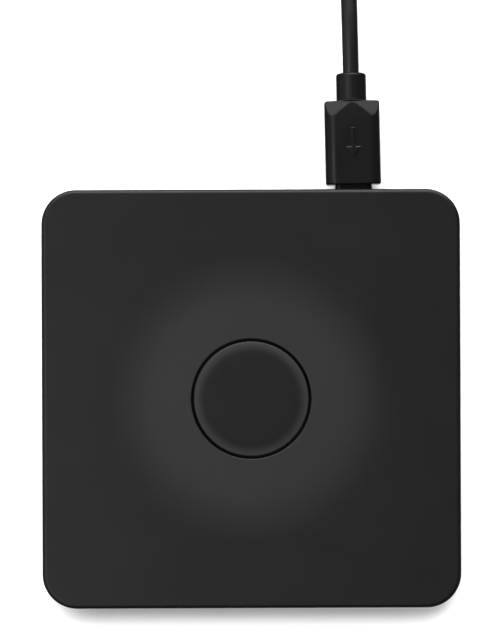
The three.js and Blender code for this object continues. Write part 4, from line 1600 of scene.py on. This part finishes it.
@dataclass(frozen=True)
class Grip:
    """A moulded grip along +Y with slanting shoulders and a round collar.

    Args:
        width: Its width.
        thickness: Its thickness.
        length: Length of the bar.
        corner: Rounding along the bar.
        collar_radius: Radius of the collar.
        collar_length: Length of the collar.
        shoulder: How far the shoulders have moved forward at the arch's sides.
        arch: Half the width of the arch that they leave.
        slope: How steeply the shoulders fall.
        cord_radius: Radius of the cord.
        end_round: Rounding at the bar's ends.
    """

    width: float
    thickness: float
    length: float
    corner: float
    collar_radius: float
    collar_length: float
    shoulder: float = 2.7 * MM
    arch: float = 3.1 * MM
    slope: float = 0.38
    cord_radius: float = 1.75 * MM
    end_round: float = 0.45 * MM

    def _station(self, y: float) -> Flat:
        """Returns the bar's section at a distance from its front."""
        near = min(y, self.length - y)
        inset = self.end_round - math.sqrt(
            max(self.end_round**2 - max(self.end_round - near, 0.0) ** 2, 0.0)
        )
        outline = rounded_outline(
            self.width / 2 - inset, self.thickness / 2 - inset, self.corner - inset, AROUND
        )
        points = []
        for x, z in outline:
            away = math.hypot(x / self.arch, 0.25) - 0.25
            start = self.length - 0.5 * MM - self.shoulder * away
            height = self.thickness / 2 - self.slope * max(y - start, 0.0)
            points.append((x, math.copysign(min(abs(z), height), z)))
        return points

    def loops(self) -> list[Loop]:
        """Lists the loops of the bar and collar, front first."""
        fine = 0.15 * MM
        stations = [0.0, fine / 3, fine, 2 * fine, 3 * fine, 4 * fine, 1.2 * MM]
        stations += [self.length * share for share in (0.2, 0.35, 0.5, 0.65)]
        y = self.length - 4.2 * MM
        while y < self.length - fine:
            stations.append(y)
            y += fine
        stations += [self.length - fine / 3, self.length]
        loops = [across_y(self._station(y), y) for y in stations]
        rim, end = 0.6 * MM, self.length + self.collar_length
        collar, mouth = self.collar_radius, self.cord_radius + 0.1 * MM
        profile = [
            (collar + 0.25 * MM, self.length + 0.02 * MM),
            (collar + 0.06 * MM, self.length + 0.12 * MM),
            (collar, self.length + 0.35 * MM),
            (collar, end - rim - 0.3 * MM),
        ]
        profile += arc((collar - rim, end - rim), rim, 0.0, 90.0, 8)
        profile += [(mouth + 0.15 * MM, end), (mouth, end - 0.15 * MM), (mouth, end - 1.2 * MM)]
        for radius, y in profile:
            ring = [(radius * math.cos(a), radius * math.sin(a)) for a in AROUND]
            loops.append(across_y(ring, y))
        return loops


def flat_tube(
    section: Section, wall: float, front: float, back: float, mouth: float = 0.1 * MM
) -> list[Loop]:
    """Lists the loops of a flat metal tube along Y, open at both ends.

    Args:
        section: Its outside.
        wall: Its thickness.
        front: Where its mouth is.
        back: Where it ends.
        mouth: Rounding at the mouth.

    Returns:
        Loops that close round into themselves.
    """
    inner = section.inset(wall)
    return [
        across_y(section.points(), back),
        across_y(section.points(), front + mouth),
        across_y(section.inset(0.4 * wall).points(), front),
        across_y(inner.points(), front + 0.5 * mouth),
        across_y(inner.points(), back),
    ]


@dataclass
class PadPlug:
    """The plug at the pad's end of the lead.

    Args:
        bench: Where the pieces are made.
        grip: The moulded grip.
        reach: How far the shell stands in the socket.
        standoff: Open gap between the pad and the grip.
        neck: The neck's section.
        shell_half_width: Half the metal shell's width.
        shell_wall: The shell's thickness.
        latch: Half the size of each latch hole in the shell.
        latch_side: How far the latch holes stand to the sides.
    """

    bench: Bench
    grip: Grip = Grip(
        width=11.9 * MM,
        thickness=6.8 * MM,
        length=18.1 * MM,
        corner=2.3 * MM,
        collar_radius=3.25 * MM,
        collar_length=6 * MM,
    )
    reach: float = 4.5 * MM
    standoff: float = 1.05 * MM
    neck: Section = Section(4 * MM, 1.45 * MM, 1.15 * MM, 8)
    shell_half_width: float = 3.425 * MM
    shell_wall: float = 0.22 * MM
    latch: tuple[float, float, float] = (0.35 * MM, 0.55 * MM, 0.5 * MM)
    latch_side: float = 1.7 * MM

    def __post_init__(self) -> None:
        """Finds the plug's place and lean from the frame."""
        low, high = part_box("socket_shell")
        slide = Vector(self.bench.frame["joints"][0]["axis"])
        turn = math.atan2(-slide.x, slide.y)
        self.pivot = Vector(((low.x + high.x) / 2, high.y - self.reach / 2, (low.z + high.z) / 2))
        self.matrix = Matrix.Translation(self.pivot) @ Matrix.Rotation(turn, 4, "Z")
        pad_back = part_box("top_cover")[1].y
        self.front = pad_back + self.standoff - self.pivot.y
        self.neck_front = pad_back - 1.1 * MM - self.pivot.y
        self.tip = -self.reach / 2
        self.end = self.front + self.grip.length + self.grip.collar_length

    def cord_exit(self) -> Vector:
        """Returns where the cord leaves the collar."""
        return self.matrix @ Vector((0.0, self.end, 0.0))

    def build(self) -> list[bpy.types.Object]:
        """Makes the plug and returns its pieces."""
        bench = self.bench
        shift = Matrix.Translation((0.0, self.front, 0.0))
        skin = Skin().loft(self.grip.loops()).moved(shift)
        neck = [
            across_y(self.neck.inset(0.15 * MM).points(), self.neck_front),
            across_y(self.neck.points(), self.neck_front + 0.15 * MM),
            across_y(self.neck.points(), self.front + 0.5 * MM),
        ]
        skin.carve(Skin().loft(neck), Carving.JOIN)
        skin.moved(self.matrix)
        body = bench.make(
            skin, "plug_moulding", [PLUG_PLASTIC], "lead", "plug_black", ["plug_grip"], sharp=38.0
        )

        low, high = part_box("plug_shell")
        outer = Section(self.shell_half_width, (high.z - low.z) / 2, 0.45 * MM, 6)
        tube = flat_tube(outer, self.shell_wall, self.tip, self.neck_front + 2.9 * MM)
        skin = Skin().loft(tube, Ends.JOINED)
        latches = Skin()
        for side in (-1, 1):
            middle = Vector((side * self.latch_side, self.tip + 2 * MM, outer.half_height))
            size = Vector(self.latch)
            latches.block(middle - size, middle + size, 0.05 * MM)
        skin.carve(latches, Carving.CUT)
        skin.moved(self.matrix)
        shell = bench.make(skin, "plug_metal_shell", [NICKEL], "lead", "nickel", ["plug_shell"])

        insert = bench.dress("plug_insert", CONTACT_CARRIER)
        return [body, shell, insert, self._arrow()]

    def _arrow(self) -> bpy.types.Object:
        """Makes the small raised arrow that says which face of the plug is up."""
        top = self.grip.thickness / 2
        middle = self.front + 0.5 * self.grip.length
        half_shaft, half_head = 0.45 * MM, 1.7 * MM
        outline = [
            (0.0, -3.4 * MM),
            (half_head, -0.9 * MM),
            (half_shaft, -0.9 * MM),
            (half_shaft, 3.2 * MM),
            (-half_shaft, 3.2 * MM),
            (-half_shaft, -0.9 * MM),
            (-half_head, -0.9 * MM),
        ]
        rise, bevel = 0.22 * MM, 0.26 * MM
        levels = ((0.0, -rise), (0.0, 0.02 * MM), (0.7 * bevel, 0.85 * rise), (bevel, rise))
        loops = [
            [Vector((x, middle + y, top + z)) for x, y in drawn_in(outline, by)]
            for by, z in levels
        ]
        skin = Skin().loft(loops).moved(self.matrix)
        return self.bench.make(skin, "plug_arrow", [PLUG_PLASTIC], "lead", "plug_black")


@dataclass
class SupplyPlug:
    """The plug at the lead's far end, which points along -X.

    Args:
        bench: Where the pieces are made.
        grip: The moulded grip.
        shell: Outside of the metal shell.
        exposed: How far the shell stands out of the grip.
        wall: Thickness of the shell.
        window: Side of the square holes in the shell.
        window_side: How far the holes stand to the sides.
        grooves: How many grooves the grip has on each side.
        groove_start: Where the first one is, from the grip's front.
        groove_pitch: Distance between them.
        contact_pitch: Distance between contacts.
    """

    bench: Bench
    grip: Grip = Grip(
        width=15.2 * MM,
        thickness=7.6 * MM,
        length=19 * MM,
        corner=2.2 * MM,
        collar_radius=3.2 * MM,
        collar_length=6 * MM,
    )
    shell: Section = Section(6 * MM, 2.25 * MM, 0.5 * MM, 6)
    exposed: float = 12 * MM
    wall: float = 0.3 * MM
    window: float = 2.2 * MM
    window_side: float = 2.7 * MM
    grooves: int = 5
    groove_start: float = 6.2 * MM
    groove_pitch: float = 1.5 * MM
    contact_pitch: float = 2.2 * MM

    def __post_init__(self) -> None:
        """Finds the plug's place from the frame."""
        low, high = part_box("supply_plug_grip")
        back = Vector((high.x, (low.y + high.y) / 2, (low.z + high.z) / 2))
        self.end = self.grip.length + self.grip.collar_length
        turn = Matrix.Rotation(-math.pi / 2, 4, "Z")
        self.matrix = Matrix.Translation(back) @ turn @ Matrix.Translation((0, -self.end, 0))
        self.cord_end = back

    def build(self) -> list[bpy.types.Object]:
        """Makes the plug and returns its pieces."""
        bench = self.bench
        skin = Skin().loft(self.grip.loops())
        grooves = Skin()
        size = Vector((0.3 * MM, 0.35 * MM, 2.4 * MM))
        for i in range(self.grooves):
            y = self.groove_start + i * self.groove_pitch
            for side in (-1, 1):
                middle = Vector((side * self.grip.width / 2, y, 0.0))
                grooves.block(middle - size, middle + size, 0.1 * MM)
        skin.carve(grooves, Carving.CUT)
        skin.moved(self.matrix)
        body = bench.make(
            skin,
            "supply_plug_moulding",
            [PLUG_PLASTIC],
            "lead",
            "plug_black",
            ["supply_plug_grip"],
            sharp=38.0,
        )

        tube = flat_tube(self.shell, self.wall, -self.exposed, 2.9 * MM, 0.25 * MM)
        skin = Skin().loft(tube, Ends.JOINED)
        windows = Skin()
        for side in (-1, 1):
            half = self.window / 2
            middle = Vector((side * self.window_side, -0.45 * self.exposed, 0.0))
            size = Vector((half, half, 4 * MM))
            windows.block(middle - size, middle + size, 0.1 * MM)
        skin.carve(windows, Carving.CUT)
        skin.moved(self.matrix)
        shell = bench.make(
            skin, "supply_plug_metal", [NICKEL], "lead", "nickel", ["supply_plug_shell"]
        )

        insert = bench.dress("supply_plug_insert", CONTACT_CARRIER)
        low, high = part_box("supply_plug_insert")
        strips = Skin()
        for i in (-1.5, -0.5, 0.5, 1.5):
            y = (low.y + high.y) / 2 + i * self.contact_pitch
            strips.block(
                Vector((low.x + 0.6 * MM, y - 0.5 * MM, high.z - 0.05 * MM)),
                Vector((low.x + 8 * MM, y + 0.5 * MM, high.z + 0.08 * MM)),
                0.03 * MM,
            )
        contacts = bench.make(strips, "supply_plug_contacts", [GOLD_FLASH], "lead", "nickel")
        return [body, shell, insert, contacts]


# ------------------------------------------------------------------ cord


@dataclass
class Cord:
    """The lead's cord, from the plug's collar through the coil to the supply plug.

    Args:
        bench: Where the pieces are made.
        start: Where the cord leaves the plug's collar.
        heading: The way it leaves, along the level.
        end: Where it goes into the supply plug's collar.
        diameter: Its diameter.
        length: Not used; its length between the collars.
        gap: The small gap between the frame's solids.
        turns_each: Turns side by side in each of the coil's two layers.
        core: Radius of the innermost turn.
        tie_angle: Where the tie is, in degrees round the coil.
        tie_thickness: Thickness of the tie's tape.
        tie_half_width: Half the width of the tape.
        run: From the plug to the coil: way gone, and share of the drop.
        tail: From the coil to the supply plug, in the same way.
    """

    bench: Bench
    start: Vector
    heading: Vector
    end: Vector
    diameter: float = 3.5 * MM
    length: float = 0.96
    gap: float = 0.3 * MM
    turns_each: int = 4
    core: float = 14 * MM
    tie_angle: float = 200.0
    tie_thickness: float = 0.5 * MM
    tie_half_width: float = 4.5 * MM
    run: Sequence[tuple[float, float]] = (
        (0 * MM, 0.0),
        (3 * MM, 0.0),
        (7 * MM, 0.03),
        (11 * MM, 0.13),
        (15 * MM, 0.31),
        (19 * MM, 0.53),
        (23 * MM, 0.74),
        (27 * MM, 0.9),
        (31 * MM, 0.98),
        (34 * MM, 1.0),
    )
    tail: Sequence[tuple[float, float]] = (
        (0 * MM, 0.0),
        (2.5 * MM, 0.06),
        (5 * MM, 0.24),
        (8 * MM, 0.6),
        (11 * MM, 0.92),
        (14 * MM, 1.0),
    )

    def __post_init__(self) -> None:
        """Finds the coil's place from the frame."""
        low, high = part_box("cord_coil")
        self.centre = Vector(((low.x + high.x) / 2, (low.y + high.y) / 2, 0.0))
        self.bundle_low, self.bundle_high = low, high
        self.outer = self.core + (self.turns_each - 1) * self.diameter
        self.ground = self.diameter / 2 + 0.05 * MM
        self.tail_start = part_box("cord_tail")[1].x

    def _lift(self, degrees: float) -> float:
        """Returns how far the coil is held up by the tie under it, in a direction."""
        apart = abs((degrees - self.tie_angle + 180.0) % 360.0 - 180.0)
        share = min(max((75.0 - apart) / 50.0, 0.0), 1.0)
        return 0.5 * MM * share * share * (3 - 2 * share)

    def _wound(self, turns: float) -> Vector:
        """Returns a point of the coil, a number of turns from where the cord meets it."""
        inward = self.turns_each - 1
        climb = 0.5
        outward = inward + climb
        layer = 0.0
        if turns < inward:
            radius = self.outer - self.diameter * turns
        elif turns < outward:
            share = (turns - inward) / climb
            radius = self.core - 0.16 * self.diameter * math.sin(math.pi * share)
            layer = share * share * (3 - 2 * share)
        else:
            radius = min(self.core + self.diameter * (turns - outward), self.outer)
            layer = 1.0
        angle = 2 * math.pi * turns
        height = self.ground + self._lift(math.degrees(angle)) + layer * self.diameter
        return self.centre + Vector((radius * math.cos(angle), radius * math.sin(angle), height))

    def route(self) -> list[Vector]:
        """Lists the cord's points from collar to collar."""
        points = [self.start - self.heading * 1.0 * MM]
        slant = self.heading.x / self.heading.y
        for along, drop in self.run:
            y = along + self.gap
            z = self.start.z + (self.ground - self.start.z) * drop
            points.append(Vector((self.start.x + slant * y, self.start.y + y, z)))
        meeting = self._wound(0.0)
        points.append((points[-1] + meeting) / 2)
        each = 20
        count = round((2 * (self.turns_each - 1) + 0.5 + 0.75) * each)
        points += [self._wound(i / each) for i in range(count + 1)]
        high = self.ground + self.diameter
        leaving = points[-1]
        points.append((leaving + Vector((self.tail_start, self.end.y, high))) / 2)
        for along, drop in self.tail:
            z = high + (self.end.z - high) * drop
            points.append(Vector((self.tail_start - along, self.end.y, z)))
        points.append(self.end - Vector((1.0 * MM, 0.0, 0.0)))
        return points

    def build_cord(self) -> bpy.types.Object:
        """Makes the cord as one open curve."""
        curve = bpy.data.curves.new("lead_cord", "CURVE")
        curve.dimensions = "3D"
        curve.resolution_u = 5
        curve.bevel_depth = self.diameter / 2
        curve.bevel_resolution = 5
        curve.use_fill_caps = True
        spline = curve.splines.new("BEZIER")
        points = self.route()
        spline.bezier_points.add(len(points) - 1)
        for knot, point in zip(spline.bezier_points, points):
            knot.co = point
            knot.handle_left_type = "AUTO"
            knot.handle_right_type = "AUTO"
        curve.materials.append(self.bench.workshop.material(CORD_SHEATH))
        made = stand("lead_cord", curve)
        return self.bench.place(made, "lead", "cord_black", ["cord", "cord_coil", "cord_tail"])

    def build_tie(self) -> list[bpy.types.Object]:
        """Makes the tape round the coil and its overlapping end."""
        thickness, half_width, clear = self.tie_thickness, self.tie_half_width, 0.05 * MM
        inner_radius = (self.core - self.diameter / 2) - clear
        outer_radius = (self.outer + self.diameter / 2) + clear
        low = self.bundle_low.z - clear
        high = self.bundle_high.z + clear
        turn = Matrix.Rotation(math.radians(self.tie_angle), 4, "Z")
        to_coil = Matrix.Translation(self.centre) @ turn

        def ring(y: float, proud: float) -> Loop:
            near = math.sqrt(inner_radius**2 - y**2) - proud
            far = math.sqrt(outer_radius**2 - y**2) + proud
            section = Section((far - near) / 2, (high - low) / 2 + proud, 0.5 * MM + proud, 5)
            return [
                Vector(((near + far) / 2 + x, y, (low + high) / 2 + z))
                for x, z in section.points()
            ]

        ways = [half_width * step / 4 for step in range(-4, 5)]
        loops = [ring(y, 0.0) for y in ways]
        loops += [ring(y, thickness * (1 if abs(y) < half_width else 0.9)) for y in ways[::-1]]
        strap = Skin().loft(loops, Ends.JOINED).moved(to_coil)
        made = self.bench.make(strap, "tie_strap", [WOVEN_TAPE], "lead", "tie_black", ["cord_tie"])

        middle = (inner_radius + outer_radius) / 2
        flap = Skin().block(
            Vector((middle - 5 * MM, -half_width + 0.3 * MM, high + thickness)),
            Vector((middle + 4 * MM, half_width - 0.3 * MM, high + 2 * thickness)),
            0.15 * MM,
        )
        flap.moved(to_coil)
        return [made, self.bench.make(flap, "tie_end", [WOVEN_TAPE], "lead", "tie_black")]


def build_lead(bench: Bench) -> None:
    """Makes the lead: plug, cord, tie and supply plug.

    Args:
        bench: Where the pieces are made.
    """
    plug = PadPlug(bench)
    supply = SupplyPlug(bench)
    heading = Vector(bench.frame["joints"][0]["axis"])
    cord = Cord(bench, plug.cord_exit(), heading, supply.cord_end)
    line = cord.build_cord()
    on_it = [*plug.build(), *cord.build_tie(), *supply.build()]


# ------------------------------------------------------------------ studio


@dataclass(frozen=True)
class Softbox:
    """A rectangular light aimed at the middle of the pad.

    Args:
        name: Its name.
        place: Where it stands.
        size: Its width and height.
        power: Its power in watts.
        glossy: Whether shiny surfaces reflect it.
    """

    name: str
    place: tuple[float, float, float]
    size: tuple[float, float]
    power: float
    glossy: bool = True

    def build(self) -> None:
        """Makes the light."""
        data = bpy.data.lights.new(self.name, "AREA")
        data.shape = "RECTANGLE"
        data.size, data.size_y = self.size
        data.energy = self.power
        light = stand(self.name, data)
        light.location = self.place
        light.visible_glossy = self.glossy
        light.rotation_euler = (-Vector(self.place)).to_track_quat("-Z", "Y").to_euler()


@dataclass
class Studio:
    """Camera, floor, lights and surroundings.

    Args:
        aim: Where the camera stands over the pad.
        distance: How far it is above the pad's top face.
        lens: Its focal length in millimetres.
        roll: How far it is turned about its own axis, in degrees.
        ambient: Strength of the surroundings.
        wall: How much brighter the pale wall is.
        floor_size: Side of the floor.
        softboxes: The lights.
    """

    aim: tuple[float, float] = (-1.93 * MM, 16.6 * MM)
    distance: float = 0.5
    lens: float = 130.5
    roll: float = -0.22
    ambient: float = 0.08
    wall: float = 0.6
    floor_size: float = 8.0
    softboxes: Sequence[Softbox] = (
        Softbox("key_behind", (-0.1, 0.5, 0.95), (1.3, 0.6), 23.0, glossy=False),
        Softbox("right_fill", (0.9, 0.2, 0.7), (0.8, 0.5), 3.0, glossy=False),
        Softbox("back_strip", (0.0, 1.1, 0.5), (1.6, 0.55), 24.0),
        Softbox("left_window", (-0.46, -0.2, 0.97), (1.0, 0.3), 4.8),
        Softbox("under_fill", (0.15, -0.1, -0.9), (0.9, 0.9), 6.0),
    )

    def camera(self) -> None:
        """Makes the camera, looking straight down."""
        data = bpy.data.cameras.new("view_from_above")
        data.lens = self.lens
        data.sensor_width = 36.0
        data.clip_start = 0.01
        camera = stand("view_from_above", data)
        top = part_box("top_cover")[1].z
        camera.location = (self.aim[0], self.aim[1], top + self.distance)
        camera.rotation_euler = (0.0, 0.0, math.radians(self.roll))
        bpy.context.scene.camera = camera

    def floor(self) -> None:
        """Makes the pale floor."""
        mesh = bmesh.new()
        bmesh.ops.create_grid(mesh, x_segments=4, y_segments=4, size=self.floor_size / 2)
        data = bpy.data.meshes.new("pale_floor")
        mesh.to_mesh(data)
        mesh.free()
        material = bpy.data.materials.new("pale_paper")
        material.use_nodes = True
        graph = Graph(material.node_tree)
        shader = material.node_tree.nodes["Principled BSDF"]
        place = graph.add("ShaderNodeTexCoord").outputs["Object"]
        fibres = graph.noise(place, 900.0, 3.0, 0.6)
        pale = graph.blend(fibres, (0.9, 0.9, 0.9, 1.0), (0.93, 0.93, 0.93, 1.0))
        graph.feed(shader.inputs["Base Color"], pale)
        shader.inputs["Roughness"].default_value = 0.6
        shader.inputs["Specular IOR Level"].default_value = 0.3
        one_sided = graph.add("ShaderNodeMixShader")
        below = graph.add("ShaderNodeNewGeometry").outputs["Backfacing"]
        clear = graph.add("ShaderNodeBsdfTransparent").outputs["BSDF"]
        for socket, value in zip(one_sided.inputs, (below, shader.outputs["BSDF"], clear)):
            graph.feed(socket, value)
        surface = material.node_tree.nodes["Material Output"].inputs["Surface"]
        graph.feed(surface, one_sided.outputs["Shader"])
        data.materials.append(material)
        floor = stand("pale_floor", data)
        floor.visible_glossy = False
        floor.visible_shadow = False

    def surroundings(self) -> None:
        """Sets the light from all round: dim, with a pale wall behind and to the left."""
        world = bpy.data.worlds.new("plain_surroundings")
        world.use_nodes = True
        graph = Graph(world.node_tree)
        shade = world.node_tree.nodes["Background"]
        shade.inputs["Color"].default_value = (1.0, 1.0, 1.0, 1.0)
        x, y, z = graph.parts(graph.add("ShaderNodeTexCoord").outputs["Generated"])
        towards = graph.math("SUBTRACT", y, graph.math("MULTIPLY", x, 0.8))
        wall = graph.math(
            "MULTIPLY", graph.ramp(z, -0.25, 0.0), graph.ramp(z, 0.15, 0.6, 1.0, 0.0)
        )
        lit = graph.math("MULTIPLY", wall, graph.ramp(towards, -0.2, 0.9))
        strength = graph.math("ADD", graph.math("MULTIPLY", lit, self.wall), self.ambient)
        graph.feed(shade.inputs["Strength"], strength)
        bpy.context.scene.world = world
        bpy.context.scene.view_settings.view_transform = "Standard"

    def build(self) -> None:
        """Sets the whole studio up."""
        self.camera()
        self.floor()
        self.surroundings()
        for softbox in self.softboxes:
            softbox.build()


# ------------------------------------------------------------------ everything together


def main() -> None:
    """Builds the studio and every sub-assembly in order."""
    logging.basicConfig(level=logging.INFO, format="%(name)s: %(message)s")
    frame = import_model()
    studio = Studio()
    studio.build()
    bench = Bench(frame, Workshop())
    build_lead(bench)
    Casing(bench).build()
    GripDisc(bench).build()
    ChargingCoil(bench).build()
    CircuitBoard(bench).build()
    LOG.info("all pieces made")


if __name__ == "__main__":
    main()
